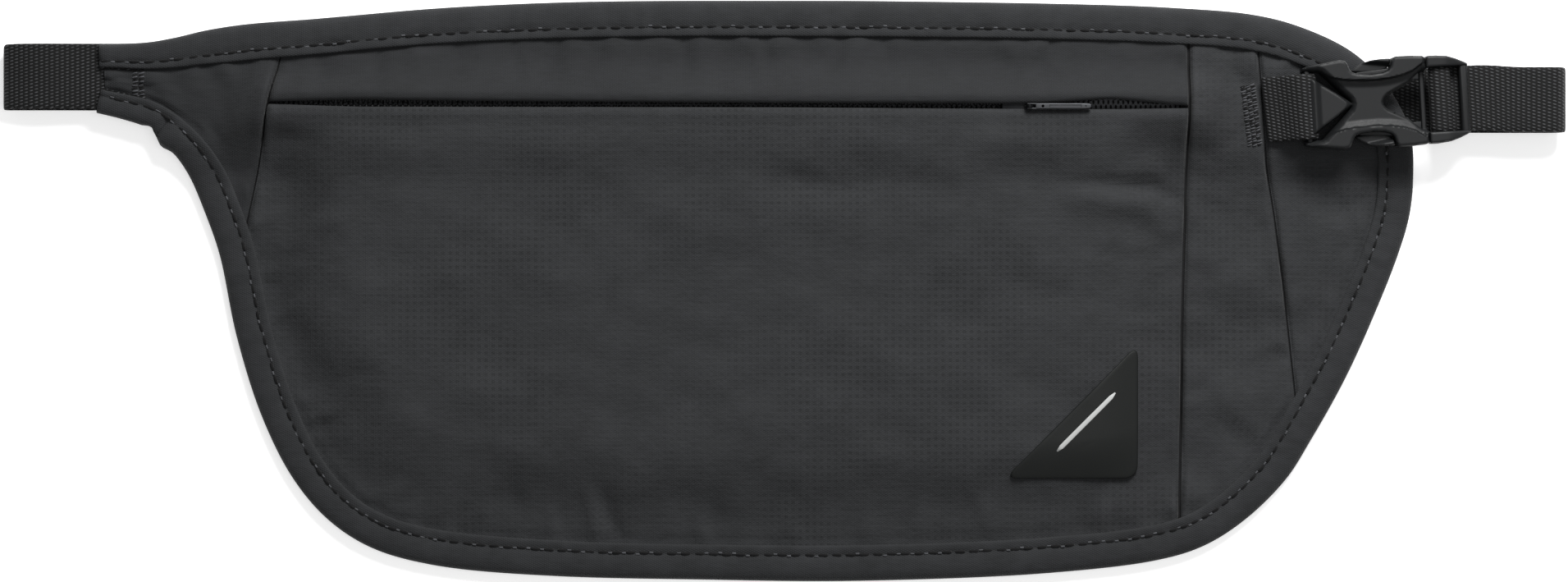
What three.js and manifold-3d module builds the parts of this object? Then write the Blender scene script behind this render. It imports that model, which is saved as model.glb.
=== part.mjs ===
import * as THREE from 'three';
import { mergeVertices } from 'three/addons/utils/BufferGeometryUtils.js';
import Module from 'manifold-3d';

// A flat waist pouch for travel documents, lying face up. Millimetres, +Z out of its front face,
// +X towards the buckle, +Y towards the top edge. Z = 0 is the surface it lies on.

// ---- driving dimensions ----
const GAP = 0.3; // between neighbouring pieces
const CLOTH = 0.4; // thickness of the face cloth
const LIFT = 2.6; // how far the top band of the pouch rides up on the strap behind it
const RAMP = [24, 36]; // where along Y that lift happens
const LEVEL = { back: 0.7, rfid: 1.8, lining: 2.3, front: 2.8, bindingTop: 3.5 };
const BACK_THICK = 0.8, LINER_THICK = 0.2;
const BINDING_WIDTH = 8.3, BINDING_THICK = 0.4;
const POCKET_RISE = 4.5; // how far the pocket front stands off the lining
const ZIP_RISE = 3.8; // the same at the zip
const WEB_WIDTH = 15, WEB_THICK = 1.0; // strap webbing
const STRAP_END_X = 181; // where the strap folds, at both ends
const BUCKLE_AT = [138.4, 43.4], BUCKLE_TURN = THREE.MathUtils.degToRad(3.3);
const ZIP_LEFT = [-119.2, 43.4], ZIP_RIGHT = [93.6, 42.4];
const SLIDER_X = [50.2, 57.8], PULL_PIVOT = [56.6, 10.6], PULL_END = 70.8;

const wasm = await Module();
wasm.setup();

// ---- helpers ----
const smooth = (t) => { const c = Math.min(1, Math.max(0, t)); return c * c * (3 - 2 * c); };
const mix = (a, b, t) => a + (b - a) * t;

// piecewise linear lookup in a list of [key, value] with rising keys
function lookup(table, key) {
  if (key <= table[0][0]) return table[0][1];
  for (let i = 1; i < table.length; i++) {
    const [k0, v0] = table[i - 1], [k1, v1] = table[i];
    if (key <= k1) return mix(v0, v1, (key - k0) / (k1 - k0));
  }
  return table.at(-1)[1];
}

function solid(geometry) {
  const g = geometry.index ? geometry.toNonIndexed() : geometry.clone();
  g.deleteAttribute('normal');
  g.deleteAttribute('uv');
  const merged = mergeVertices(g, 1e-4);
  return new wasm.Manifold(new wasm.Mesh({
    numProp: 3,
    vertProperties: merged.attributes.position.array,
    triVerts: new Uint32Array(merged.index.array),
  }));
}

function prism(points, z0, z1) {
  const shape = new THREE.Shape(points.map(([x, y]) => new THREE.Vector2(x, y)));
  return solid(new THREE.ExtrudeGeometry(shape, { depth: z1 - z0, bevelEnabled: false, steps: 1 })
    .translate(0, 0, z0));
}

function block(x0, x1, y0, y1, z0, z1) {
  return prism([[x0, y0], [x1, y0], [x1, y1], [x0, y1]], z0, z1);
}

function geometryFrom(points, faces) {
  const g = new THREE.BufferGeometry();
  g.setAttribute('position', new THREE.Float32BufferAttribute(points.flat(), 3));
  g.setIndex(faces.flat());
  return g;
}

// the closed space between two height fields over a grid
function slab(xs, ys, under, over) {
  const points = [], faces = [], nx = xs.length, ny = ys.length;
  for (const field of [under, over]) {
    for (const x of xs) for (const y of ys) points.push([x, y, field(x, y)]);
  }
  const at = (i, j, k) => k * nx * ny + i * ny + j;
  const quad = (a, b, c, d) => faces.push([a, b, c], [a, c, d]);
  for (let i = 0; i + 1 < nx; i++) {
    for (let j = 0; j + 1 < ny; j++) {
      quad(at(i, j, 1), at(i + 1, j, 1), at(i + 1, j + 1, 1), at(i, j + 1, 1));
      faces.push([at(i, j, 0), at(i + 1, j + 1, 0), at(i + 1, j, 0)],
        [at(i, j, 0), at(i, j + 1, 0), at(i + 1, j + 1, 0)]);
    }
    quad(at(i, 0, 0), at(i + 1, 0, 0), at(i + 1, 0, 1), at(i, 0, 1));
    quad(at(i + 1, ny - 1, 0), at(i, ny - 1, 0), at(i, ny - 1, 1), at(i + 1, ny - 1, 1));
  }
  for (let j = 0; j + 1 < ny; j++) {
    quad(at(0, j + 1, 0), at(0, j, 0), at(0, j, 1), at(0, j + 1, 1));
    quad(at(nx - 1, j, 0), at(nx - 1, j + 1, 0), at(nx - 1, j + 1, 1), at(nx - 1, j, 1));
  }
  return solid(geometryFrom(points, faces));
}

// a smooth line through a few points
function curve(points, count) {
  const c = new THREE.CatmullRomCurve3(points.map(([x, y]) => new THREE.Vector3(x, y, 0)), false, 'centripetal');
  return c.getSpacedPoints(count).map((p) => [p.x, p.y]);
}

// a line moved sideways; to its right, for an outline drawn clockwise, is inwards
function offset(line, distance) {
  return line.map(([x, y], i) => {
    const a = line[Math.max(0, i - 1)], b = line[Math.min(line.length - 1, i + 1)];
    const length = Math.hypot(b[0] - a[0], b[1] - a[1]);
    return [x + (b[1] - a[1]) / length * distance, y - (b[0] - a[0]) / length * distance];
  });
}

// ---- the pouch outline, clockwise from the wing where the strap is sewn in ----
const EDGE_TOP = [
  [-158.4, 57.2], [-147.7, 57.5], [-140.9, 58.6], [-134, 60.2], [-125, 61.6], [-110, 62.9], [-82, 65.4],
  [-53, 66.7], [-25, 67.2], [3.5, 67.2], [32, 67], [60, 66.6], [89, 65.6], [109, 63.9], [120, 61],
  [131.6, 55.3], [139.5, 47.5], [144.6, 38], [146, 27.4], [145.3, 17.9], [142.6, 8.4], [136.9, -5.8],
  [130.3, -20], [122.3, -34.3], [116.4, -43.7], [106.9, -53.2], [97.5, -59.2], [86.8, -62.5],
  [60, -65.5], [17.7, -67.2], [-15, -67.1], [-53, -66.1], [-82, -63.4], [-96, -59.5], [-105.8, -53.2],
  [-113.9, -43.7], [-121, -29.5], [-127, -10.5], [-131, 8.4], [-134.3, 17.9], [-138.4, 27.4],
  [-142.5, 33.2], [-147.7, 37.8], [-153, 39.7], [-159.1, 41.2],
];
const outline = curve(EDGE_TOP, 150);
const seamLine = offset(outline, BINDING_THICK + GAP); // the layers end here, inside the binding's fold
const foldLine = offset(outline, BINDING_THICK);
// the binding's inner edge leaves the outline's shape at the wing, where its two ends nearly meet
const bindingEdge = [
  [-162, 50.6], [-146, 51.1], [-134, 52.2],
  ...offset(outline, BINDING_WIDTH).filter(([x, y]) => !(x < -126 && y > 24)),
  [-128.8, 25.5], [-133, 33.2], [-138.5, 40.2], [-144.5, 43.9], [-150.5, 45.5], [-162, 46.2],
];

// ---- seams and zip ----
const SEAM_LEFT = [[-75, -140], [-15, -131.5], [5, -127], [16, -124.6], [29.3, -121.7], [43.5, -119.2],
  [54.3, -116.5], [75, -112.4]];
const SEAM_RIGHT = [[-75, 91.6], [-54.2, 91.7], [-8.6, 92.3], [21.7, 93.1], [42.6, 93.6], [75, 93.7]];
const SEAM_TAB = [[-75, 124], [-21.9, 118.3], [0.9, 115.8], [17.9, 113.6], [29.3, 111.7], [55.5, 109.8],
  [75, 108.2]];
// half openings of the zip's two lips along X
const LIP_UP = [[-119.2, 0.3], [-100, 0.9], [-63, 0.65], [0, 0.5], [42, 0.65], [57.5, 0.6], [67, 1.15],
  [75, 2.0], [81, 1.4], [93.6, 0.25]];
const LIP_DOWN = [[-119.2, 0.25], [-100, 0.8], [-63, 0.7], [0, 0.5], [42, 0.6], [57.5, 0.6], [75, 0.6],
  [93.6, 0.25]];
const zipY = (x) => mix(ZIP_LEFT[1], ZIP_RIGHT[1], (x - ZIP_LEFT[0]) / (ZIP_RIGHT[0] - ZIP_LEFT[0]));
const seamPoints = (table, side) => table.map(([y, x]) => [x + side * GAP / 2, y]);
const reversed = (list) => [...list].reverse();

// ---- heights ----
const lift = (y) => LIFT * smooth((y - RAMP[0]) / (RAMP[1] - RAMP[0]));
const lowerEdge = outline.filter(([, y]) => y < 16);
const edgeDistance = (x, y) => Math.min(...lowerEdge.map(([a, b]) => Math.hypot(x - a, y - b)));

function frontRise(x, y) {
  const fromZip = Math.abs(y - zipY(x));
  const atSeam = ZIP_RISE * smooth(1 - (fromZip - 2) / 8);
  const middle = y < zipY(x)
    ? mix(ZIP_RISE, POCKET_RISE, smooth((fromZip - 2.5) / 14))
    : ZIP_RISE * smooth(1 - (fromZip - 2) / 9);
  const left = x - lookup(SEAM_LEFT, y), right = lookup(SEAM_RIGHT, y) - x;
  if (left < 0) return atSeam * smooth(1 + left / 12);
  if (right < 0) return atSeam * smooth(1 + right / 12);
  return mix(atSeam, middle, smooth(left / 22) * smooth(right / 22)) * smooth((edgeDistance(x, y) - 11) / 20);
}

const RAMP_YS = [24, 27, 30, 33, 36];
const FLAT_YS = [-80, ...RAMP_YS, 80], WIDE_XS = [-200, 200];
const FRONT_YS = [-80, -64, -58, -53, -48, -43, -38, -32, -24, -12, 2, 14, ...RAMP_YS, 38.5, 40.5, 45.5,
  47.5, 49.5, 51.5, 54, 80];
const FRONT_XS = [-200, -140, -134, -129, -124, -119, -114, -109, -103, -97, -88, -64, -32, 0, 32, 58, 66,
  71, 76, 81, 86, 90, 94, 98, 106, 200];

const flatLayer = (low, high) => slab(WIDE_XS, FLAT_YS, (x, y) => lift(y) + low, (x, y) => lift(y) + high);
const frontLayer = (low, high) => slab(FRONT_XS, FRONT_YS,
  (x, y) => lift(y) + frontRise(x, y) + low, (x, y) => lift(y) + frontRise(x, y) + high);
const column = (points) => prism(points, -5, 30);
const layersInside = column(seamLine);
const faceCloth = frontLayer(LEVEL.front, LEVEL.front + CLOTH).intersect(layersInside);

// ---- materials ----
const material = (color, roughness, metalness = 0) => new THREE.MeshStandardMaterial({ color, roughness, metalness });
const LOOK = {
  ripstop: ['#3a3b3e', 0.8], facing: ['#333437', 0.85], mesh: ['#242527', 0.95], foil: ['#8d9094', 0.4],
  lining: ['#1d1e20', 0.9], binding: ['#2a2b2d', 0.9], tape: ['#232426', 0.9], coil: ['#1a1b1c', 0.5],
  badge: ['#121413', 0.6], thread: ['#4b4c50', 0.9], webbing: ['#1f2022', 0.9], acetal: ['#26272a', 0.4],
  slider: ['#232427', 0.35, 0.6], pull: ['#8c8e92', 0.35, 0.9],
};

const group = new THREE.Group();
function add(name, look, shape, place = null) {
  const source = shape instanceof THREE.BufferGeometry ? shape : fromSolid(shape);
  const mesh = new THREE.Mesh(source, material(...LOOK[look]));
  mesh.name = name;
  if (place === 'buckle') {
    mesh.position.set(...BUCKLE_AT, 0);
    mesh.rotation.z = BUCKLE_TURN;
  }
  group.add(mesh);
}

function fromSolid(made) {
  const { numProp, vertProperties, triVerts, numVert } = made.getMesh();
  const points = [];
  for (let i = 0; i < numVert; i++) points.push([...vertProperties.slice(i * numProp, i * numProp + 3)]);
  const g = geometryFrom(points, [...triVerts]);
  g.computeVertexNormals();
  return g;
}

// ---- back, screening layer and lining ----
const betweenSeams = column([...seamPoints(SEAM_LEFT, 1), ...reversed(seamPoints(SEAM_RIGHT, -1))]);
add('back_mesh_panel', 'mesh', flatLayer(LEVEL.back, LEVEL.back + BACK_THICK).intersect(layersInside));
add('rfid_blocking_layer', 'foil',
  flatLayer(LEVEL.rfid, LEVEL.rfid + LINER_THICK).intersect(layersInside).intersect(betweenSeams));
add('pocket_lining', 'lining',
  flatLayer(LEVEL.lining, LEVEL.lining + LINER_THICK).intersect(layersInside).intersect(betweenSeams));

// ---- face panels ----
const lipPoints = (table, side) => {
  const xs = table.map(([x]) => x);
  return [[ZIP_LEFT[0] - 20, zipY(xs[0]) + side * table[0][1]],
    ...table.map(([x, half]) => [x, zipY(x) + side * half]),
    [ZIP_RIGHT[0] + 10, zipY(ZIP_RIGHT[0]) + side * table.at(-1)[1]]];
};
const aboveZip = column([...lipPoints(LIP_UP, 1), [104, 80], [-140, 80]]);
const belowZip = column([...lipPoints(LIP_DOWN, -1), [104, -80], [-140, -80]].reverse());
const centre = faceCloth.intersect(betweenSeams);
add('zip_header_panel', 'facing', centre.intersect(aboveZip));
add('main_pocket_panel', 'ripstop', centre.intersect(belowZip));
add('left_wing_panel', 'facing', faceCloth.intersect(
  column([...seamPoints(SEAM_LEFT, -1), [-200, 75], [-200, -75]])));
add('right_inner_panel', 'ripstop', faceCloth.intersect(
  column([...reversed(seamPoints(SEAM_RIGHT, 1)), ...seamPoints(SEAM_TAB, -1)])));
add('right_outer_panel', 'ripstop', faceCloth.intersect(
  column([...seamPoints(SEAM_TAB, 1), [200, 75], [200, -75]].reverse())));

// ---- edge binding: one folded tape, drawn in four lengths ----
const bindingHeight = LEVEL.bindingTop + BINDING_THICK;
const strapEnd = { x: -147.5, z: [LIFT + 1.65, LIFT + 1.65 + WEB_THICK] };
const strapPass = block(-165, strapEnd.x + GAP, 41.5, 58.5, strapEnd.z[0] - 0.15, strapEnd.z[1] + 0.15);
const binding = flatLayer(0, bindingHeight).intersect(column(outline))
  .subtract(flatLayer(BINDING_THICK, LEVEL.bindingTop).intersect(column(foldLine)))
  .subtract(column(bindingEdge))
  .subtract(strapPass);
const TOP_END_X = 118, SIDE_LOW_Y = -49;
add('edge_binding_top', 'binding', binding.intersect(block(-170, TOP_END_X, 48.3, 80, -5, 30)));
add('edge_binding_buckle_side', 'binding', binding.intersect(
  column([[TOP_END_X + GAP, 80], [TOP_END_X + GAP, 48.3], [80, 40], [80, SIDE_LOW_Y], [170, SIDE_LOW_Y], [170, 80]])));
add('edge_binding_bottom', 'binding', binding.intersect(block(-170, 170, -80, SIDE_LOW_Y - GAP, -5, 30)));
add('edge_binding_strap_side', 'binding', binding.intersect(block(-170, 0, SIDE_LOW_Y, 48, -5, 30)));

// ---- zip ----
const ZIP_Z = { plateLow: LIFT + 3.2, coil: LIFT + 4.1, plateHigh: LIFT + 5.4, lip: LIFT + LEVEL.front + ZIP_RISE };
const COIL_THICK = 1.0, COIL_WIDTH = 1.95, TAPE_EDGE = 4.8;
const zipXs = [-118.4, -100, -80, -50, -20, 20, 51, 53, 55, 58, 62, 67, 71, 75, 78, 81, 87, 92.8];
// the two rows of the coil mesh to the left of the slider and part inside it
const coilOffset = (x, lips) => (x <= 51 ? 0.15 : Math.max(mix(0.15, 0.7, Math.min(1, (x - 51) / 4)),
  Math.min(lookup(lips, x) - 0.2, 2)));
const band = (side, inner, outer, z0, z1) => {
  const edge = (f) => zipXs.map((x) => [x, zipY(x) + side * f(x)]);
  const loop = [...edge(inner), ...reversed(edge(outer))];
  return prism(side > 0 ? loop : reversed(loop), z0, z1);
};
[['upper', 1, LIP_UP], ['lower', -1, LIP_DOWN]].forEach(([which, side, lips]) => {
  const inner = (x) => coilOffset(x, lips);
  add(`zip_coil_${which}`, 'coil',
    band(side, inner, (x) => inner(x) + COIL_WIDTH, ZIP_Z.coil, ZIP_Z.coil + COIL_THICK));
  add(`zip_tape_${which}`, 'tape',
    band(side, (x) => inner(x) + COIL_WIDTH + GAP, () => TAPE_EDGE, ZIP_Z.coil + GAP, ZIP_Z.coil + GAP + CLOTH));
});

const sliderY = zipY(PULL_PIVOT[0]);
const rodAlongY = (x, z, radius, half, sides = 16) => solid(
  new THREE.CylinderGeometry(radius, radius, 2 * half, sides).translate(x, sliderY, z));
const NECK_HALF = 0.25, BAIL_RADIUS = 0.95;
const plate = (z0, z1, half) => prism([
  [SLIDER_X[0], sliderY - half * 0.7], [SLIDER_X[1] - 1, sliderY - half], [SLIDER_X[1], sliderY - half * 0.6],
  [SLIDER_X[1], sliderY + half * 0.6], [SLIDER_X[1] - 1, sliderY + half], [SLIDER_X[0], sliderY + half * 0.7],
], z0, z1);
add('zip_slider', 'slider', plate(ZIP_Z.plateLow, ZIP_Z.plateLow + 0.6, 3)
  .add(plate(ZIP_Z.plateHigh, ZIP_Z.plateHigh + 0.7, 3))
  .add(block(55.4, 57.4, sliderY - NECK_HALF, sliderY + NECK_HALF, ZIP_Z.plateLow, PULL_PIVOT[1]))
  .add(rodAlongY(...PULL_PIVOT, BAIL_RADIUS, NECK_HALF, 24))
  .subtract(rodAlongY(...PULL_PIVOT, 0.5, 2)));
const PULL_HALF = 0.66, CHEEK_IN = 0.4, PULL_HIGH = 0.55;
add('zip_pull', 'pull', block(58, PULL_END, sliderY - PULL_HALF, sliderY + PULL_HALF,
  PULL_PIVOT[1] - PULL_HIGH, PULL_PIVOT[1] + PULL_HIGH)
  .add(block(PULL_PIVOT[0], 58.2, sliderY - PULL_HALF, sliderY + PULL_HALF,
    PULL_PIVOT[1] - PULL_HIGH, PULL_PIVOT[1] + PULL_HIGH))
  .add(rodAlongY(...PULL_PIVOT, PULL_HIGH, PULL_HALF))
  .subtract(block(50, 57.9, sliderY - CHEEK_IN, sliderY + CHEEK_IN, 8, 13))
  .add(rodAlongY(...PULL_PIVOT, 0.33, PULL_HALF))
  .subtract(prism(new THREE.Path().absarc(59.6, sliderY, 0.36, 0, 2 * Math.PI).getPoints(12).slice(1)
    .map((p) => [p.x, p.y]), 9, 12)));

// ---- badge and bar tacks on the face ----
function rounded(corners, radius) {
  const path = new THREE.Path();
  corners.forEach(([x, y], i) => {
    const before = corners.at(i - 1), after = corners[(i + 1) % corners.length];
    const towards = (q) => {
      const length = Math.hypot(q[0] - x, q[1] - y);
      return [x + (q[0] - x) / length * radius, y + (q[1] - y) / length * radius];
    };
    const a = towards(before), b = towards(after);
    if (i) path.lineTo(...a); else path.moveTo(...a);
    path.quadraticCurveTo(x, y, ...b);
  });
  return path.getPoints(5).map((p) => [p.x, p.y]);
}
const onFace = (thick) => frontLayer(LEVEL.front + CLOTH + GAP, LEVEL.front + CLOTH + GAP + thick);
add('corner_badge', 'badge', onFace(0.6).intersect(column(rounded([[50.9, -43.4], [81.9, -43.4], [81.9, -12.2]], 3.2))));
add('strap_bartack', 'thread', onFace(0.4).intersect(block(-151.1, -147.7, 46.2, 50.2, -5, 30)));
add('tab_bartack', 'thread', onFace(0.4).intersect(
  column([[106.9, 33.5], [109.9, 33.8], [108.4, 47.9], [105.4, 47.6]])));

// ---- webbing: a flat band that follows a path in XZ ----
function ribbon(path, place) {
  const points = [], faces = [], half = WEB_THICK / 2;
  path.forEach(([x, z], i) => {
    const before = path[Math.max(0, i - 1)], after = path[Math.min(path.length - 1, i + 1)];
    const unit = (p, q) => { const l = Math.hypot(q[0] - p[0], q[1] - p[1]); return [(q[0] - p[0]) / l, (q[1] - p[1]) / l]; };
    const a = i ? unit(before, [x, z]) : unit([x, z], after);
    const b = i < path.length - 1 ? unit([x, z], after) : a;
    const n = [-(a[1] + b[1]), a[0] + b[0]], l = Math.hypot(...n);
    const reach = half / ((n[0] * -a[1] + n[1] * a[0]) / l);
    for (const [side, v] of [[1, -1], [1, 1], [-1, 1], [-1, -1]]) {
      points.push(place(x + n[0] / l * reach * side, v * WEB_WIDTH / 2, z + n[1] / l * reach * side));
    }
  });
  for (let i = 0; i + 1 < path.length; i++) {
    for (let k = 0; k < 4; k++) {
      const a = i * 4 + k, b = i * 4 + (k + 1) % 4;
      faces.push([a, a + 4, b + 4], [a, b + 4, b]);
    }
  }
  const last = (path.length - 1) * 4;
  faces.push([0, 1, 2], [0, 2, 3], [last, last + 2, last + 1], [last, last + 3, last + 2]);
  const g = geometryFrom(points, faces);
  if (solid(g).volume() < 0) g.setIndex(faces.map(([a, b, c]) => [a, c, b]).flat());
  return g;
}
const arc = (x, z, radius, from, to, count = 7) => Array.from({ length: count + 1 }, (_, i) => {
  const a = THREE.MathUtils.degToRad(mix(from, to, i / count));
  return [x + radius * Math.cos(a), z + radius * Math.sin(a)];
});
const alongX = (from, to, z, count) => Array.from({ length: count + 1 }, (_, i) => [mix(from, to, i / count), z]);

// fixed length: sewn into the wing, folded behind at the left, running right behind the pouch
const BACK_RUN_Z = 1.8, TAIL_Z = 0.5, SPLIT_X = 60;
const FRONT_LEFT_Z = (strapEnd.z[0] + strapEnd.z[1]) / 2;
const leftBend = (FRONT_LEFT_Z - BACK_RUN_Z) / 2;
const leftCentre = -STRAP_END_X + leftBend + WEB_THICK / 2;
const backRunY = (x) => mix(49.4, 44.2, smooth((x + 175) / 350));
add('waist_strap_sewn_length', 'webbing', ribbon(
  [...alongX(strapEnd.x, leftCentre, FRONT_LEFT_Z, 3).slice(0, 3),
    ...arc(leftCentre, (FRONT_LEFT_Z + BACK_RUN_Z) / 2, leftBend, 90, 270),
    ...alongX(leftCentre, SPLIT_X, BACK_RUN_Z, 10).slice(1)],
  (x, v, z) => [x, v + mix(backRunY(x), 49.75, smooth((z - BACK_RUN_Z) / (2 * leftBend))), z]));

// adjusting length: behind the pouch, folded at the right, laced through the plug, tail tucked behind
const LOAD_Z = 6.9, TAIL_TOP_Z = LOAD_Z + WEB_THICK + GAP, TAIL_TIP_X = -136;
const bendZ = (BACK_RUN_Z + LOAD_Z) / 2, innerBend = (LOAD_Z - BACK_RUN_Z) / 2;
const outerBend = (TAIL_TOP_Z - TAIL_Z) / 2;
const bendX = STRAP_END_X - outerBend - WEB_THICK / 2 - BUCKLE_AT[0];
const SLOT_IN = 10.95, OVER_BAR_Z = 11.4, SLOT_OUT = 14.9;
const lacing = [
  ...alongX(SPLIT_X + GAP - BUCKLE_AT[0], bendX, BACK_RUN_Z, 6).slice(0, 6),
  ...arc(bendX, bendZ, innerBend, -90, 90, 8),
  [30, LOAD_Z], [22, LOAD_Z],
  ...arc(SLOT_IN + 1, LOAD_Z + 1, 1, 270, 180, 4),
  ...arc(SLOT_IN + 1, OVER_BAR_Z - 1, 1, 180, 90, 4),
  ...arc(SLOT_OUT - 0.9, OVER_BAR_Z - 0.9, 0.9, 90, 0, 4),
  ...arc(SLOT_OUT + 1, TAIL_TOP_Z + 1, 1, 180, 270, 4),
  [22, TAIL_TOP_Z], [30, TAIL_TOP_Z],
  ...arc(bendX, (TAIL_TOP_Z + TAIL_Z) / 2, outerBend, 90, -90, 9),
  ...alongX(bendX, TAIL_TIP_X - BUCKLE_AT[0], TAIL_Z, 8).slice(1),
];
const tailY = (x) => mix(47.4, 44.2, smooth((x + 136) / 310));
function placeLacing(u, v, z) {
  const x0 = BUCKLE_AT[0] + u, straight = smooth((u - 20) / 12);
  const turn = BUCKLE_TURN * (1 - straight);
  const laced = BUCKLE_AT[1] + Math.sin(BUCKLE_TURN) * Math.min(u, 26);
  if (z < bendZ && u < bendX) return [x0, v + (z < 1.15 ? tailY(x0) : backRunY(x0)), z];
  const squeeze = straight < 1 ? mix(Math.cos(BUCKLE_TURN), 1, straight) : 1;
  return [BUCKLE_AT[0] + u * squeeze - v * Math.sin(turn), mix(laced, 44.2, straight) + v * Math.cos(turn), z];
}
add('waist_strap_adjusting_length', 'webbing', ribbon(lacing, placeLacing));

// short webbing loop that holds the socket
const BAR = { u: [-18.3, -16.9], z: [9.2, 11] };
const loopTop = BAR.z[1] + GAP + WEB_THICK / 2, loopLow = BAR.z[0] - GAP - WEB_THICK / 2;
const TAB_START = -26.4, tabZ = LIFT + LEVEL.front + CLOTH + GAP + WEB_THICK / 2;
add('buckle_tab', 'webbing', ribbon(
  [[TAB_START, tabZ + WEB_THICK + GAP], [-24.4, tabZ + WEB_THICK + GAP + 0.1], [-20.4, 10.9], [-19, 11.6],
    ...arc(BAR.u[1] - 0.4, loopTop - 1.2, 1.2, 90, 0, 4),
    ...arc(BAR.u[1] - 0.4, loopLow + 1.2, 1.2, 0, -90, 4),
    [-19.4, 8.15], [-23.6, tabZ + 0.15], [TAB_START, tabZ]],
  (u, v, z) => [u, v, z]), 'buckle');

// ---- side-release buckle, in its own frame: U towards the plug, V across ----
const mirrored = (half) => [...half, ...reversed(half).map(([u, v]) => [u, -v])];
const SOCKET_Z = [6.9, 13.4], CAVITY_Z = [8.6, 11.7];
const socketOutline = mirrored([[-18.9, 8.3], [-18.3, 8.9], [-14, 9.7], [-10, 10.2], [-8.3, 9.7], [-7.2, 7.4],
  [-5.6, 6.8], [0.6, 6.8], [1.8, 8.2], [2.4, 10.4], [8.8, 10.2], [9.3, 9.8]]);
const through = (points, z0 = 5, z1 = 15) => prism(points, z0, z1);
const lane = (side) => through([[-7.9, 2.4], [9.6, 2.4], [9.6, 8.6], [-7.9, 8.6]]
  .map(([u, v]) => [u, v * side]), ...CAVITY_Z);
const socket = through(reversed(socketOutline), ...SOCKET_Z)
  .subtract(through([[-16.9, -7.9], [-15, -7.8], [-8.3, -0.8], [-8.3, 0.8], [-15, 7.8], [-16.9, 7.9]]))
  .subtract(block(-18.4, -16.8, -7.9, 7.9, BAR.z[1], 15))
  .subtract(block(-18.4, -16.8, -7.9, 7.9, 5, BAR.z[0]))
  .subtract(block(-20, -18.3, -7.9, 7.9, 5, 15))
  .subtract(through([[-0.2, 1], [-0.2, -1], [5.5, -3.6], [10, -7.2], [10, 7.2], [5.5, 3.6]]))
  .subtract(lane(1)).subtract(lane(-1));
add('buckle_socket', 'acetal', socket, 'buckle');

const PLUG_Z = [7.2, 13.1], PRONG_Z = [8.9, 11.4];
const plugOutline = mirrored([[9.6, 9.6], [10.1, 10.1], [14.5, 9.8], [17.2, 8.9], [19.4, 8.2]]);
const window = (u0, u1) => block(u0, u1, -7.8, 7.8, 5, 15);
const bar = (u0, u1, z0, z1) => (whole) => whole
  .subtract(block(u0, u1, -7.8, 7.8, z1, 15)).subtract(block(u0, u1, -7.8, 7.8, 5, z0));
const plug = [bar(9.5, 10.2, ...PRONG_Z), bar(11.7, 14.1, 8.4, 10.5), bar(17.1, 20, 9, 11.3)]
  .reduce((whole, cut) => cut(whole), through(reversed(plugOutline), ...PLUG_Z)
    .subtract(window(10.15, 11.75)).subtract(window(14, 17.2)))
  .add(through([[8.3, -7.6], [10.15, -7.6], [10.15, 7.6], [8.3, 7.6]], ...PRONG_Z));
add('buckle_plug', 'acetal', plug, 'buckle');
const PRONG_ROOT = 8;
const prongShape = [[PRONG_ROOT, 4.7], [PRONG_ROOT, 7.3], [5.2, 7.9], [1.9, 8], [1.7, 9.7], [-1, 9.95], [-4.6, 9.3],
  [-7, 7.6], [-7.2, 6.6], [-5.5, 5.9], [0, 5.5], [4.4, 4.9]];
['upper', 'lower'].forEach((which, i) => {
  const side = i ? -1 : 1;
  const points = prongShape.map(([u, v]) => [u, v * side]);
  add(`buckle_prong_${which}`, 'acetal', through(side < 0 ? reversed(points) : points, ...PRONG_Z), 'buckle');
});

// the middle of the footprint is the origin
const box = new THREE.Box3().setFromObject(group);
group.position.set(-(box.min.x + box.max.x) / 2, -(box.min.y + box.max.y) / 2, -box.min.z);

export default group;
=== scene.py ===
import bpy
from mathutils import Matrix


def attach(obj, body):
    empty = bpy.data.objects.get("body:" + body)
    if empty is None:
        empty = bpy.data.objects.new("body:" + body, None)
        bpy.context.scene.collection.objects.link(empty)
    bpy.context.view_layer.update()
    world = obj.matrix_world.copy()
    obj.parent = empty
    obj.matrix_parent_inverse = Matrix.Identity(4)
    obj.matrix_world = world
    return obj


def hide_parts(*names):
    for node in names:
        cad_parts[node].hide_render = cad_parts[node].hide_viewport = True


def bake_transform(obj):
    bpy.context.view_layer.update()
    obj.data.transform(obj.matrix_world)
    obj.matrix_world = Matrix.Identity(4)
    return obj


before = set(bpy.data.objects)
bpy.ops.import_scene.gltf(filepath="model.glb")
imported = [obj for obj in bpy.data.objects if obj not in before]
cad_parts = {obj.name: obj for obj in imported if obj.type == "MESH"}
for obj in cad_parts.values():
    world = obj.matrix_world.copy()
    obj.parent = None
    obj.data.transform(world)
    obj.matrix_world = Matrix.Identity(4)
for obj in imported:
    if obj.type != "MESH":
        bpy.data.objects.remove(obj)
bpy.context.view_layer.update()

import math

import bmesh
import bpy
import numpy as np
from mathutils import Matrix, Vector
from mathutils.geometry import delaunay_2d_cdt

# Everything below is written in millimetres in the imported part's frame; MM turns it into metres.
MM = 0.001

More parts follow.
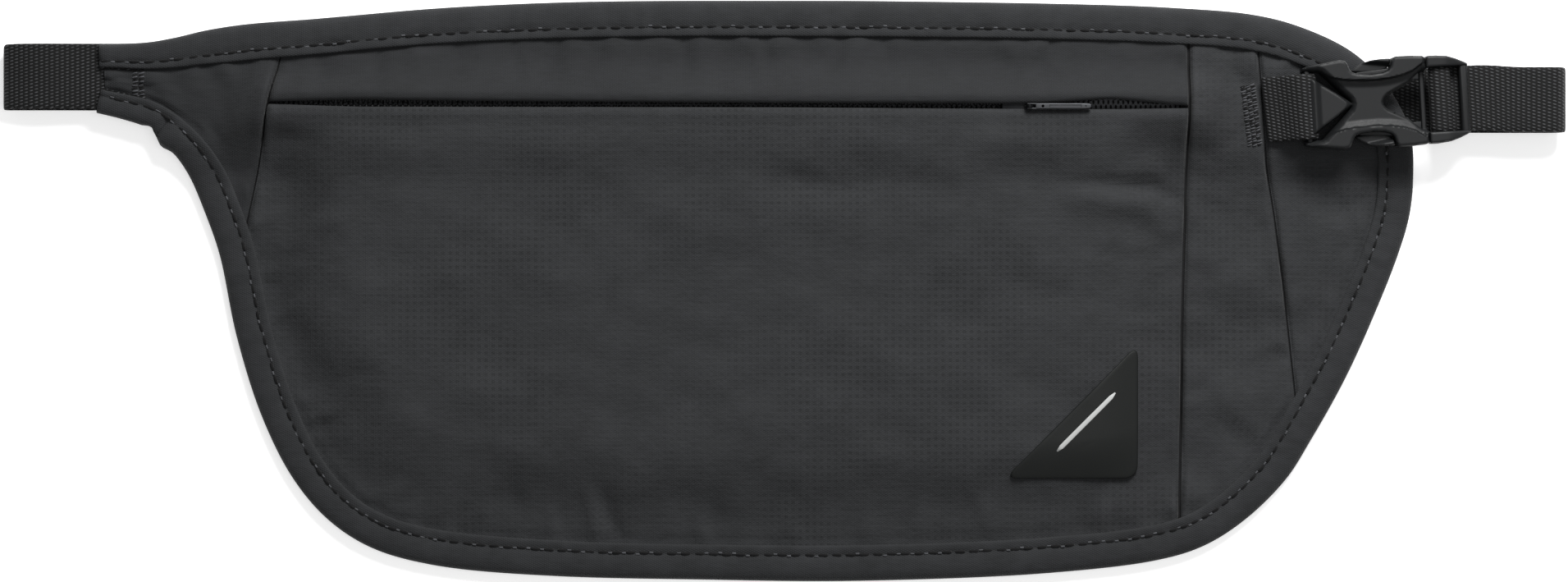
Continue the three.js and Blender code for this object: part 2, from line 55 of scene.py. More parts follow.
# ---------------------------------------------------------------- dimensions
LIFT, RAMP = 2.6, (24.0, 36.0)          # the top band rides up on the strap behind it
FRONT, CLOTH = 2.8, 0.4                 # underside and thickness of the face cloth
POCKET_RISE, ZIP_RISE = 4.5, 3.8
BINDING_WIDTH = 8.3
WEB_THICK = 1.0
BUCKLE_AT, BUCKLE_TURN = (138.4, 43.4), math.radians(3.3)
ZIP_LEFT, ZIP_RIGHT = (-119.2, 43.4), (93.6, 42.4)
PULL_PIVOT = (56.6, 10.6)
WRINKLES = [(0.5, 7, 90, 40, 3), (0.24, 9, 30, 17, 5), (0.07, 12, 10, 7, 8)]  # height, then as for waves()
GATHER_HEIGHT, GATHER_PITCH = 0.5, 9.6  # the rows of gathers beside the binding
SEAM_DITCH, SEAM_HALF = 1.7, 0.42       # depth and half width of the ditch over a seam
CREASE_GAIN = 1.75                      # how strongly the creases and tucks are drawn
PANEL_STEP, PANEL_THICK = 1.5, 0.42     # the grid and the thickness of a face panel

OUTLINE_POINTS = [
    (-158.4, 57.2), (-147.7, 57.5), (-140.9, 58.6), (-134, 60.2), (-125, 61.6), (-110, 62.9), (-82, 65.4),
    (-53, 66.7), (-25, 67.2), (3.5, 67.2), (32, 67), (60, 66.6), (89, 65.6), (109, 63.9), (120, 61),
    (131.6, 55.3), (139.5, 47.5), (144.6, 38), (146, 27.4), (145.3, 17.9), (142.6, 8.4), (136.9, -5.8),
    (130.3, -20), (122.3, -34.3), (116.4, -43.7), (106.9, -53.2), (97.5, -59.2), (86.8, -62.5),
    (60, -65.5), (17.7, -67.2), (-15, -67.1), (-53, -66.1), (-82, -63.4), (-96, -59.5), (-105.8, -53.2),
    (-113.9, -43.7), (-121, -29.5), (-127, -10.5), (-131, 8.4), (-134.3, 17.9), (-138.4, 27.4),
    (-142.5, 33.2), (-147.7, 37.8), (-153, 39.7), (-159.1, 41.2),
]
SEAM_LEFT = [(-75, -140), (-15, -131.5), (5, -127), (16, -124.6), (29.3, -121.7), (43.5, -119.2),
             (54.3, -116.5), (75, -112.4)]
SEAM_RIGHT = [(-75, 91.6), (-54.2, 91.7), (-8.6, 92.3), (21.7, 93.1), (42.6, 93.6), (75, 93.7)]
SEAM_TAB = [(-75, 124), (-21.9, 118.3), (0.9, 115.8), (17.9, 113.6), (29.3, 111.7), (55.5, 109.8),
            (75, 108.2)]
LIP_UP = [(-119.2, 0.3), (-100, 0.9), (-63, 0.65), (0, 0.5), (42, 0.65), (57.5, 0.6), (67, 1.15),
          (75, 2.0), (81, 1.4), (93.6, 0.25)]
LIP_DOWN = [(-119.2, 0.25), (-100, 0.8), (-63, 0.7), (0, 0.5), (42, 0.6), (57.5, 0.6), (75, 0.6),
            (93.6, 0.25)]


# ---------------------------------------------------------------- small maths
def smooth(t):
    t = np.clip(t, 0.0, 1.0)
    return t * t * (3 - 2 * t)


def mix(a, b, t):
    return a + (b - a) * t


def look(table, key):
    k, v = zip(*table)
    return np.interp(key, k, v)


def catmull(points, step):
    """A centripetal curve through the points, at even steps."""
    p = np.array(points, float)
    p = np.vstack([2 * p[0] - p[1], p, 2 * p[-1] - p[-2]])
    out = []
    for i in range(1, len(p) - 2):
        p0, p1, p2, p3 = p[i - 1:i + 3]
        t0 = 0.0
        t1 = t0 + np.linalg.norm(p1 - p0) ** 0.5
        t2 = t1 + np.linalg.norm(p2 - p1) ** 0.5
        t3 = t2 + np.linalg.norm(p3 - p2) ** 0.5
        for t in np.linspace(t1, t2, 16, endpoint=False):
            a1 = (t1 - t) / (t1 - t0) * p0 + (t - t0) / (t1 - t0) * p1
            a2 = (t2 - t) / (t2 - t1) * p1 + (t - t1) / (t2 - t1) * p2
            a3 = (t3 - t) / (t3 - t2) * p2 + (t - t2) / (t3 - t2) * p3
            b1 = (t2 - t) / (t2 - t0) * a1 + (t - t0) / (t2 - t0) * a2
            b2 = (t3 - t) / (t3 - t1) * a2 + (t - t1) / (t3 - t1) * a3
            out.append((t2 - t) / (t2 - t1) * b1 + (t - t1) / (t2 - t1) * b2)
    out.append(p[-2])
    return resample(np.array(out), step=step)


def arc_length(line):
    return np.concatenate([[0], np.cumsum(np.linalg.norm(np.diff(line, axis=0), axis=1))])


def resample(line, step=None, at=None):
    """Points along a polyline, either at even steps or at shares of its length."""
    s = arc_length(line)
    if at is None:
        at = np.linspace(0, 1, max(2, int(round(s[-1] / step)) + 1))
    at = np.asarray(at) * s[-1]
    return np.stack([np.interp(at, s, line[:, k]) for k in range(line.shape[1])], 1)


def inward(line):
    """Unit vectors to the right of a line's direction, which is inwards for the clockwise outline."""
    d = np.gradient(line, axis=0)
    d /= np.linalg.norm(d, axis=1)[:, None]
    return np.stack([d[:, 1], -d[:, 0]], 1)


def zip_y(x):
    return mix(ZIP_LEFT[1], ZIP_RIGHT[1], (x - ZIP_LEFT[0]) / (ZIP_RIGHT[0] - ZIP_LEFT[0]))


def lip_line(table, side):
    x = np.arange(ZIP_LEFT[0], ZIP_RIGHT[0] + 0.1, 0.8)
    half = look(table, x)
    for _ in range(4):
        half = np.convolve(np.pad(half, 2, mode="edge"), np.ones(5) / 5, mode="valid")
    return np.stack([x, zip_y(x) + side * half], 1)


OUTLINE = catmull(OUTLINE_POINTS, 1.0667)
OUTLINE_S = arc_length(OUTLINE)
OUTLINE_IN = inward(OUTLINE)
LOWER_EDGE = OUTLINE[OUTLINE[:, 1] < 16]
LIP_UPPER, LIP_LOWER = lip_line(LIP_UP, 1), lip_line(LIP_DOWN, -1)
total_s = OUTLINE_S[-1]
binding_width = mix(5.5, BINDING_WIDTH, smooth(np.minimum(OUTLINE_S, total_s - OUTLINE_S) / 34))


def nearest(x, y, line):
    """Distance to a line's points, and the index of the nearest one."""
    flat = np.stack([np.ravel(x), np.ravel(y)], 1)
    distance, index = np.empty(len(flat)), np.empty(len(flat), int)
    for i in range(0, len(flat), 4000):
        d = np.linalg.norm(flat[i:i + 4000, None] - line[None], axis=2)
        index[i:i + 4000] = d.argmin(1)
        distance[i:i + 4000] = d.min(1)
    return distance.reshape(np.shape(x)), index.reshape(np.shape(x))


def waves(x, y, count, size_x, size_y, seed):
    """Soft unevenness of about plus or minus one, from a few seeded waves."""
    rng = np.random.RandomState(seed)
    total = np.zeros(np.shape(x))
    for _ in range(count):
        lx, ly = size_x * rng.uniform(0.6, 1.7), size_y * rng.uniform(0.6, 1.7)
        turn, phase = rng.uniform(-0.6, 0.6), rng.uniform(0, 2 * math.pi)
        a, b = x * math.cos(turn) + y * math.sin(turn), y * math.cos(turn) - x * math.sin(turn)
        total += np.sin(2 * math.pi * a / lx + phase) * np.sin(2 * math.pi * b / ly + rng.uniform(0, 6.28))
    return total / math.sqrt(count)


# ---------------------------------------------------------------- the face of the pouch
def lift(y):
    return LIFT * smooth((y - RAMP[0]) / (RAMP[1] - RAMP[0]))


def rise(x, y):
    """How far the face cloth stands off its flat level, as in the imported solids."""
    from_zip = np.abs(y - zip_y(x))
    at_seam = ZIP_RISE * smooth(1 - (from_zip - 2) / 8)
    middle = np.where(y < zip_y(x), mix(ZIP_RISE, POCKET_RISE, smooth((from_zip - 2.5) / 14)),
                      ZIP_RISE * smooth(1 - (from_zip - 2) / 9))
    left, right = x - look(SEAM_LEFT, y), look(SEAM_RIGHT, y) - x
    edge = smooth((nearest(x, y, LOWER_EDGE)[0] - 11) / 20)
    inside = mix(at_seam, middle, smooth(left / 22) * smooth(right / 22)) * edge
    return np.where(left < 0, at_seam * smooth(1 + left / 12),
                    np.where(right < 0, at_seam * smooth(1 + right / 12), inside))


def bump_line(x, y, points, width, height):
    """A soft ridge, or a crease if height is below zero, along a short line."""
    line = resample(np.array(points, float), step=0.8)
    d, i = nearest(x, y, line)
    fade = np.sin(np.pi * np.clip(i / max(1, len(line) - 1), 0.06, 0.94)) ** 0.7
    return height * fade * np.exp(-(d / width) ** 2)


CREASES = [  # (points, width, height)
    ([(64, 25.0), (72, 24.6), (80, 24.2), (86, 24.2), (91.8, 21.5)], 1.3, -1.0),
    ([(66, 22), (75, 21.0), (84, 19.5), (90, 15)], 2.9, 1.0),
    ([(78, 26.5), (84, 28), (91, 27)], 2.2, 0.5),
    ([(1.5, 27.3), (4.2, 26.2)], 1.1, -0.6),
    ([(30, 30), (45, 24), (60, 21)], 4.0, 0.45),
    ([(-10, 28), (10, 24), (30, 25.5)], 3.4, -0.4),
    ([(-96, 47), (-88, 52), (-80, 58)], 2.6, 0.4),
    ([(-84, 46), (-76, 51), (-70, 58)], 2.2, -0.35),
    ([(-38, 46), (-34, 51), (-30, 58)], 2.4, 0.35),
    ([(-28, 46), (-25, 52), (-22, 58)], 2.0, -0.25),
    ([(10, 47), (14, 52), (16, 58)], 2.2, 0.25),
    ([(-122, 10), (-117, -10), (-110, -30)], 4.0, -0.5),
    ([(-112, 20), (-108, -5), (-100, -28)], 5.0, 0.5),
    ([(-100, -48), (-60, -53), (-20, -54)], 3.4, 0.3),
    ([(20, -55), (60, -53), (86, -50)], 3.0, 0.3),
    ([(97, 22), (103, 16), (110, 14)], 2.6, -0.3),
    ([(96, 6), (104, 2), (113, 3)], 3.2, 0.35),
    ([(98, -20), (106, -26), (114, -24)], 3.0, 0.3),
    ([(116, 30), (124, 24), (132, 22)], 2.6, -0.35),
    ([(117, 20), (126, 14), (136, 14)], 3.4, 0.35),
    ([(-146, 47), (-138, 44), (-131, 36)], 2.6, 0.35),
    ([(-140, 50), (-130, 47), (-124, 38)], 2.4, -0.3),
    ([(-134, 55), (-127, 50), (-121, 48)], 2.4, 0.3),
    ([(-142, 48.6), (-136.5, 46.5), (-131, 43)], 1.7, 0.42),
    ([(-136, 49), (-130, 44.5), (-126, 39.5), (-124, 34)], 2.2, 0.5),
    ([(-139, 45.6), (-134, 40), (-130.5, 34), (-127.5, 25)], 1.5, -0.6),
    ([(102.6, 53), (104.6, 50), (106.2, 47)], 0.9, -0.5),
    ([(99, 50), (101.5, 45), (105, 41.5)], 1.5, 0.4),
    ([(100.5, 33), (104, 35), (107, 38)], 1.3, -0.4),
    ([(116.5, 28.2), (119.6, 30.8), (124, 31.9)], 1.0, 0.55),
    ([(117.5, 26.4), (121.5, 28.6), (127, 29)], 1.1, -0.5),
    ([(119, 22.5), (126, 24), (133, 22.5)], 1.6, 0.35),
    ([(127.5, 22), (131, 16), (132.5, 8)], 1.5, -0.4),
    ([(95, 24.5), (99, 22), (104, 21.5)], 1.2, 0.4),
    ([(94.5, -2), (99, -6), (106, -7)], 1.4, -0.35),
    ([(-118, 56), (-112, 52.5), (-104, 52)], 1.3, -0.4),
    ([(-60, 58.5), (-56, 53), (-55, 48)], 1.2, -0.35),
    ([(22, 60), (24.5, 54), (23, 49)], 1.2, -0.35),
    ([(58, 59), (61, 53), (66, 50)], 1.4, 0.35),
    ([(-113, 12), (-108, 16), (-99, 17)], 1.6, 0.35),
    ([(-106, -22), (-99, -19), (-90, -20)], 1.8, -0.3),
    ([(70, 10), (80, 7.5), (90.5, 9)], 1.5, -0.4),
    ([(74, -6), (83, -8), (90.5, -6)], 1.6, 0.35),
]


def tucks():
    """Short creases that run into the cloth from the binding and from the seams."""
    rng = np.random.RandomState(31)
    out = []
    for s in np.arange(26, OUTLINE_S[-1] - 24, 9.5):
        s = s + rng.uniform(-4, 4)
        p = np.array([np.interp(s, OUTLINE_S, OUTLINE[:, k]) for k in (0, 1)])
        d = np.array([np.interp(s, OUTLINE_S, OUTLINE_IN[:, k]) for k in (0, 1)])
        lean = rng.uniform(-0.6, 0.6)
        d = np.array([d[0] - lean * d[1], d[1] + lean * d[0]])
        length = rng.uniform(6, 17)
        middle = p + d * (7 + length * 0.5) + rng.uniform(-0.8, 0.8, 2)
        width = rng.uniform(0.9, 2.0)
        height = rng.choice([-1, 1]) * rng.uniform(0.2, 0.55)
        out.append(([p + d * 7, middle, p + d * (7 + length)], width, height))
    for table, low, high in ((SEAM_RIGHT, -55, 60), (SEAM_TAB, -20, 56), (SEAM_LEFT, 0, 56)):
        for y in np.arange(low, high, 8.5):
            y = y + rng.uniform(-3, 3)
            way = rng.choice([-1, 1])
            x = float(look(table, y))
            if abs(y - zip_y(x)) < 5:
                continue
            length = rng.uniform(5, 13)
            out.append(([(x + way * 0.6, y), (x + way * length * 0.5, y + rng.uniform(-1.5, 1.5)),
                         (x + way * length, y + rng.uniform(-3.5, 3.5))],
                        rng.uniform(0.8, 1.7), rng.choice([-1, 1]) * rng.uniform(0.2, 0.45)))
    return out


TUCKS = tucks()


def cloth_level(x, y):
    """Height of the face cloth's outer surface before its seams and wrinkles."""
    return lift(y) + FRONT + CLOTH + rise(x, y)


def face(x, y):
    """Height of the cloth's outer surface, with seams drawn in and its small wrinkles."""
    top = cloth_level(x, y)
    d, i = nearest(x, y, OUTLINE)
    along = OUTLINE_S[i]
    free = smooth((d - 8.2) / 9)
    beside_zip = smooth((np.abs(y - zip_y(x)) - 1.5) / 7)
    free = free * np.where((x > ZIP_LEFT[0]) & (x < ZIP_RIGHT[0]), beside_zip, 1)
    top = top + free * sum(height * waves(x, y, *rest) for height, *rest in WRINKLES)
    rows = 0.55 + 0.45 * np.sin(along / 23.0 + 1.3)
    turn = 2 * math.pi * along / GATHER_PITCH + 2.2 * np.sin(along / 31.0)
    top = top + GATHER_HEIGHT * rows * np.sin(turn) \
        * np.exp(-np.clip(d - BINDING_WIDTH, 0, None) / 4.2) * smooth((d - 5) / 3)
    at_binding = d - np.interp(along, OUTLINE_S, binding_width) - 0.25
    top = top - 0.75 * np.exp(-(np.abs(at_binding) / 0.55) ** 2)
    for table, phase in ((SEAM_LEFT, 0.0), (SEAM_RIGHT, 1.9), (SEAM_TAB, 3.7)):
        off = np.abs(x - look(table, y))
        top = top - SEAM_DITCH * np.exp(-(off / SEAM_HALF) ** 1.5) + 0.25 * np.exp(-((off - 1.6) / 1.2) ** 2)
        puckers = np.sin(2 * math.pi * y / 11.0 + phase + 1.5 * np.sin(y / 9.0))
        top = top + 0.28 * puckers * np.exp(-off / 4.5) * smooth(off / 1.2) * beside_zip
    for points, width, height in CREASES + TUCKS:
        crease = CREASE_GAIN * bump_line(x, y, points, width, height)
        top = top + crease * smooth((d - 7) / 3) * beside_zip
    return np.maximum(top, lift(y) + FRONT - 0.25)


# ---------------------------------------------------------------- mesh helpers
def link(name, data):
    obj = bpy.data.objects.new(name, data)
    bpy.context.scene.collection.objects.link(obj)
    return obj


def new_object(name, points, faces):
    """A mesh object from millimetre points."""
    mesh = bpy.data.meshes.new(name)
    mesh.from_pydata((np.asarray(points, float) * MM).tolist(), [], [list(map(int, f)) for f in faces])
    return link(name, mesh)


def clean(obj, merge=None):
    """Drops loose points, joins doubled ones within merge, and turns the faces outwards."""
    bm = bmesh.new()
    bm.from_mesh(obj.data)
    bmesh.ops.delete(bm, geom=[v for v in bm.verts if not v.link_faces], context="VERTS")
    if merge:
        bmesh.ops.remove_doubles(bm, verts=bm.verts, dist=merge * MM)
    bmesh.ops.recalc_face_normals(bm, faces=bm.faces)
    bm.to_mesh(obj.data)
    bm.free()


def build(name, points, faces, look_of, body, replaces=(), slot=None, uv=None, sharp=None):
    """A finished piece from millimetre points; uv is per point, in millimetres."""
    obj = new_object(name, points, faces)
    if uv is not None:
        layer = obj.data.uv_layers.new(name="UVMap")
        index = np.empty(len(obj.data.loops), int)
        obj.data.loops.foreach_get("vertex_index", index)
        layer.data.foreach_set("uv", np.asarray(uv, np.float32)[index].ravel())
    clean(obj)
    finish_piece(obj, look_of, body, replaces, sharp)
    return obj


def finish_piece(obj, look_of, body, replaces=(), sharp=None):
    obj.data.materials.clear()
    obj.data.materials.append(look_of)
    obj.data.shade_smooth()
    if sharp:
        obj.data.set_sharp_from_angle(angle=math.radians(sharp))
    if body:
        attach(obj, body)
    if replaces:
        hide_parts(*replaces)


NEAR_EDGE = [0, 0.15, 0.32, 0.52, 0.78, 1.1, 1.5, 2.0, 2.7, 3.6, 4.8]  # a panel's grid lines beside its edges


def graded(length):
    """Shares of a length, closely spaced near both ends."""
    last = NEAR_EDGE[-1]
    middle = np.arange(last + PANEL_STEP, length - last - PANEL_STEP * 0.4, PANEL_STEP)
    return np.array([*NEAR_EDGE, *middle, *(length - v for v in reversed(NEAR_EDGE))]) / length


def coons(bottom, top, left, right):
    """A grid of points between four sides that share corners."""
    s = graded((arc_length(bottom)[-1] + arc_length(top)[-1]) / 2)
    t = graded((arc_length(left)[-1] + arc_length(right)[-1]) / 2)
    b, u = resample(bottom, at=s)[:, None], resample(top, at=s)[:, None]
    l, r = resample(left, at=t)[None], resample(right, at=t)[None]
    s, t = s[:, None, None], t[None, :, None]
    corners = (1 - s) * (1 - t) * bottom[0] + s * (1 - t) * bottom[-1] \
        + (1 - s) * t * top[0] + s * t * top[-1]
    return (1 - t) * b + t * u + (1 - s) * l + s * r - corners


def grid_faces(n, m, start=0, flip=False):
    i, j = np.meshgrid(np.arange(n - 1), np.arange(m - 1), indexing="ij")
    a = (start + i * m + j).ravel()
    quads = np.stack([a, a + m, a + m + 1, a + 1], 1)
    return quads[:, ::-1] if flip else quads


def swept_faces(n, m):
    """Sides and ends of a solid swept through n sections of m points."""
    i = np.arange(n - 1)
    sides = [np.stack([i * m + j, (i + 1) * m + j, (i + 1) * m + (j + 1) % m, i * m + (j + 1) % m], 1)
             for j in range(m)]
    return np.vstack(sides).tolist() + [list(range(m)), list(range((n - 1) * m, n * m))[::-1]]


def shell(xy, top, thick):
    """Points and faces of a closed cloth between a grid's surface and the same surface lower down."""
    n, m = xy.shape[:2]
    upper = np.concatenate([xy, top[..., None]], 2).reshape(-1, 3)
    lower = np.concatenate([xy, (top - thick)[..., None]], 2).reshape(-1, 3)
    k = n * m
    faces = [grid_faces(n, m), grid_faces(n, m, k, True)]
    ring = list(range(0, m)) + [i * m + m - 1 for i in range(1, n)] \
        + [(n - 1) * m + j for j in range(m - 2, -1, -1)] + [i * m for i in range(n - 2, 0, -1)]
    a = np.array(ring)
    b = np.roll(a, -1)
    faces.append(np.stack([a, b, b + k, a + k], 1))
    return np.vstack([upper, lower]), np.vstack(faces)


# ---------------------------------------------------------------- materials
def srgb(r, g, b):
    """Linear colour of an 8-bit sRGB one."""
    return tuple(((v / 255 + 0.055) / 1.055) ** 2.4 if v > 10 else v / 255 / 12.92 for v in (r, g, b))


class Look:
    """A node material with short calls for the nodes used here."""

    def __init__(self, name, roughness=0.8, **sockets):
        self.material = bpy.data.materials.new(name)
        self.material.use_nodes = True
        self.tree = self.material.node_tree
        self.shader = self.tree.nodes["Principled BSDF"]
        self.shader.inputs["Roughness"].default_value = roughness
        for key, value in sockets.items():
            self.shader.inputs[key.replace("_", " ")].default_value = value

    def node(self, kind, inputs=(), **settings):
        n = self.tree.nodes.new(kind)
        for key, value in settings.items():
            setattr(n, key, value)
        for key, value in dict(inputs).items():
            if hasattr(value, "is_linked") or hasattr(value, "links"):
                self.tree.links.new(value, n.inputs[key])
            else:
                n.inputs[key].default_value = value
        return n

    def math(self, operation, a, b=0.0, c=0.0, clamp=False):
        inputs = {0: a, 1: b, 2: c}
        return self.node("ShaderNodeMath", inputs, operation=operation, use_clamp=clamp).outputs[0]

    def add(self, a, b):
        return self.math("ADD", a, b)

    def mul(self, a, b):
        return self.math("MULTIPLY", a, b)

    def scaled(self, vector, factors):
        return self.node("ShaderNodeVectorMath", {0: vector, 1: factors}, operation="MULTIPLY").outputs[0]

    def coords(self, uv=False):
        """Coordinates in millimetres."""
        source = self.node("ShaderNodeTexCoord").outputs["UV" if uv else "Object"]
        return source if uv else self.scaled(source, (1 / MM,) * 3)

    def split(self, vector):
        return self.node("ShaderNodeSeparateXYZ", {0: vector}).outputs

    def noise(self, vector, size, detail=3.0, roughness=0.55, stretch=(1, 1, 1)):
        """Noise with features of a size in millimetres."""
        moved = self.scaled(vector, tuple(s / size for s in stretch))
        return self.node("ShaderNodeTexNoise", {"Vector": moved, "Scale": 1.0, "Detail": detail,
                                                "Roughness": roughness}).outputs[0]

    def ramp(self, value, low, high, out_low=0.0, out_high=1.0):
        return self.node("ShaderNodeMapRange", {"Value": value, "From Min": low, "From Max": high,
                                                "To Min": out_low, "To Max": out_high}).outputs[0]

    def wave(self, value, pitch):
        """A sine of a given pitch in millimetres, from 0 to 1."""
        turned = self.math("MULTIPLY", value, 2 * math.pi / pitch)
        return self.math("MULTIPLY_ADD", self.math("SINE", turned), 0.5, 0.5)

    def colour(self, factor, dark, light):
        m = self.node("ShaderNodeMix", data_type="RGBA")
        self.tree.links.new(factor, m.inputs["Factor"])
        m.inputs["A"].default_value = (*dark, 1)
        m.inputs["B"].default_value = (*light, 1)
        return m.outputs["Result"]

    def paint(self, colour):
        self.tree.links.new(colour, self.shader.inputs["Base Color"])

    def rough(self, value):
        self.tree.links.new(value, self.shader.inputs["Roughness"])

    def bump(self, height, distance_mm, strength=1.0, before=None):
        n = self.node("ShaderNodeBump", {"Height": height, "Distance": distance_mm * MM,
                                         "Strength": strength})
        if before is not None:
            self.tree.links.new(before, n.inputs["Normal"])
        self.tree.links.new(n.outputs[0], self.shader.inputs["Normal"])
        return n.outputs[0]


def cloth(name, base, light, grid=0.0, thread=0.42, grain=1.0, mottle=0.07):
    """A fine plain weave; grid is the pitch of its ripstop dots, or 0."""
    m = Look(name, 0.82, Sheen_Weight=0.06, Sheen_Roughness=0.5, Specular_IOR_Level=0.2)
    at = m.coords()
    x, y, _ = m.split(at)
    over = m.mul(m.wave(x, thread), m.wave(m.add(y, m.mul(x, 0.5)), thread))
    slub = m.noise(at, 1.1, 4, stretch=(0.35, 2.6, 1))
    tone = m.math("MULTIPLY_ADD", m.ramp(slub, 0.3, 0.7), 0.45, m.mul(over, 0.3))
    cloudy, mottled = m.noise(at, 38, 2), m.noise(at, 6, 4)
    tone = m.add(tone, m.ramp(cloudy, 0.3, 0.7, -0.07, 0.07))
    tone = m.add(tone, m.ramp(mottled, 0.3, 0.7, -mottle, mottle))
    height = m.add(over, m.mul(slub, 0.9 * grain))
    if grid:
        dots = m.mul(m.ramp(m.wave(x, grid), 0.35, 0.75), m.ramp(m.wave(y, grid), 0.35, 0.75))
        patch = m.ramp(m.noise(at, 30, 2), 0.42, 0.62, 0.1, 1.0)
        tone = m.add(tone, m.mul(dots, m.mul(patch, -0.28)))
        height = m.math("SUBTRACT", height, m.mul(dots, 0.5))
    m.paint(m.colour(m.ramp(tone, -0.15, 1.15), base, light))
    m.rough(m.ramp(slub, 0.2, 0.8, 0.74, 0.9))
    fine = m.bump(height, 0.09, 0.7)
    m.bump(m.noise(at, 7, 4), 0.5, 0.35, before=fine)
    return m.material


def webbing(name):
    """Flat polyester webbing: rows of slanted light floats over dark, every other column set off by half."""
    m = Look(name, 0.7, Sheen_Weight=0.02, Specular_IOR_Level=0.25)
    u, v, _ = m.split(m.coords(uv=True))
    column_pitch, row_pitch = 1.18, 0.77
    column = m.math("DIVIDE", u, column_pitch)
    number = m.math("FLOOR", column)
    odd = m.math("FLOORED_MODULO", number, 2.0)
    across = m.math("SUBTRACT", m.math("FRACT", column), 0.5)
    row = m.add(m.math("DIVIDE", v, row_pitch), m.mul(odd, 0.5))
    along = m.math("SUBTRACT", m.math("FRACT", m.math("MULTIPLY_ADD", across, 0.35, row)), 0.5)
    a2 = m.math("POWER", m.math("ABSOLUTE", m.math("DIVIDE", across, 0.42)), 2.2)
    b2 = m.math("POWER", m.math("ABSOLUTE", m.math("DIVIDE", along, 0.29)), 2.0)
    float_ = m.math("SUBTRACT", 1.0, m.add(a2, b2), clamp=True)
    strand = m.noise(m.coords(uv=True), 0.16, 3, stretch=(0.3, 2.4, 1))
    worn = m.noise(m.coords(uv=True), 9, 3)
    tone = m.mul(m.math("POWER", float_, 0.8), m.ramp(strand, 0.2, 0.8, 0.55, 1.1))
    tone = m.mul(tone, m.ramp(worn, 0.3, 0.7, 0.7, 1.1))
    m.paint(m.colour(tone, WEB_DARK, WEB_LIGHT))
    m.rough(m.ramp(tone, 0, 1, 0.8, 0.5))
    m.bump(m.math("MULTIPLY_ADD", strand, 0.2, float_), 0.22, 1.0)
    return m.material


def plastic(name, base, light, roughness=0.42, grain_mm=0.5, speck=0.02):
    m = Look(name, roughness, Specular_IOR_Level=0.22)
    at = m.coords()
    grain, cloud = m.noise(at, grain_mm, 4), m.noise(at, 9, 3)
    m.paint(m.colour(m.math("MULTIPLY_ADD", grain, 0.4, m.mul(cloud, 0.6)), base, light))
    m.rough(m.ramp(m.math("MULTIPLY_ADD", grain, 0.5, m.mul(cloud, 0.5)), 0.3, 0.7,
                   roughness - 0.06, roughness + 0.1))
    m.bump(grain, speck, 0.8)
    return m.material


def mesh_cloth(name, base, light, pitch, depth):
    """Knitted mesh: rounded holes in staggered rows."""
    m = Look(name, 0.85, Specular_IOR_Level=0.3)
    at = m.coords()
    x, y, _ = m.split(at)
    holes = m.mul(m.wave(m.add(x, m.mul(y, 0.5)), pitch),
                   m.wave(m.math("SUBTRACT", x, m.mul(y, 0.5)), pitch))
    ring = m.ramp(holes, 0.25, 0.6, 1.0, 0.0)
    fluff = m.noise(at, 0.4, 3)
    m.paint(m.colour(m.mul(ring, m.ramp(fluff, 0.2, 0.8, 0.6, 1.1)), base, light))
    m.bump(m.math("MULTIPLY_ADD", fluff, 0.25, ring), depth, 1.0)
    return m.material


def metal(name, base, light, roughness):
    m = Look(name, roughness, Metallic=1.0)
    at = m.coords()
    brushed = m.noise(at, 0.35, 4, stretch=(0.2, 3, 1))
    tone = m.math("MULTIPLY_ADD", brushed, 0.6, m.mul(m.noise(at, 4, 3), 0.4))
    m.paint(m.colour(tone, base, light))
    m.rough(m.ramp(brushed, 0.3, 0.7, roughness - 0.08, roughness + 0.12))
    m.bump(brushed, 0.02, 0.5)
    return m.material


WEB_DARK, WEB_LIGHT = srgb(1, 1, 1), srgb(66, 67, 69)
RIPSTOP = cloth("charcoal_ripstop", srgb(25, 26, 27), srgb(50, 51, 53), grid=1.65)
FACING = cloth("charcoal_plain_weave", srgb(20, 21, 22), srgb(41, 42, 44))
BINDING = cloth("charcoal_edge_tape", srgb(24, 25, 26), srgb(44, 45, 47), thread=0.5, grain=0.7, mottle=0.17)
TAPE = cloth("zip_tape_weave", srgb(12, 12, 13), srgb(24, 25, 26), thread=0.6)
WEBBING = webbing("flat_webbing")
LINING = mesh_cloth("knitted_lining", srgb(2, 2, 2), srgb(84, 85, 88), 1.15, 0.3)
SPACER = mesh_cloth("spacer_mesh_back", srgb(10, 10, 11), srgb(56, 57, 59), 3.2, 0.8)
FOIL = metal("screening_film", srgb(120, 122, 125), srgb(165, 167, 170), 0.4)
COIL = plastic("nylon_coil", srgb(9, 9, 10), srgb(20, 21, 22), 0.5, 0.3)
ACETAL = plastic("moulded_acetal", srgb(13, 14, 15), srgb(20, 21, 22), 0.5, 0.35, 0.012)
BADGE = plastic("soft_rubber_patch", srgb(10, 12, 11), srgb(14, 16, 15), 0.62, 0.3, 0.02)
STRIPE = plastic("pale_rubber", srgb(150, 151, 150), srgb(165, 166, 165), 0.6, 0.3, 0.02)
SLIDER = metal("black_coated_metal", srgb(20, 20, 21), srgb(34, 35, 36), 0.45)
PULL = metal("satin_grey_metal", srgb(54, 55, 57), srgb(72, 73, 75), 0.5)
# near-black thread: painted shade for the pits and sunk threads of the stitching
THREAD_PAINTED_SHADE = cloth("sewing_thread_painted_shade", srgb(3, 3, 4), srgb(12, 12, 13), thread=0.2)
# near-black cloth: painted shade in the seam ditches
SEAM_SHADE = cloth("seam_ditch_painted_shade", srgb(4, 4, 5), srgb(12, 12, 13))
THREAD = cloth("sewing_thread", srgb(50, 51, 54), srgb(88, 89, 92), thread=0.2)

# ---------------------------------------------------------------- face panels
HIDDEN = OUTLINE + OUTLINE_IN * 4.0  # the panels end here, under the binding


def hidden_index(point):
    """Which point of the hidden border is nearest."""
    return int(np.linalg.norm(HIDDEN - np.array(point), axis=1).argmin())


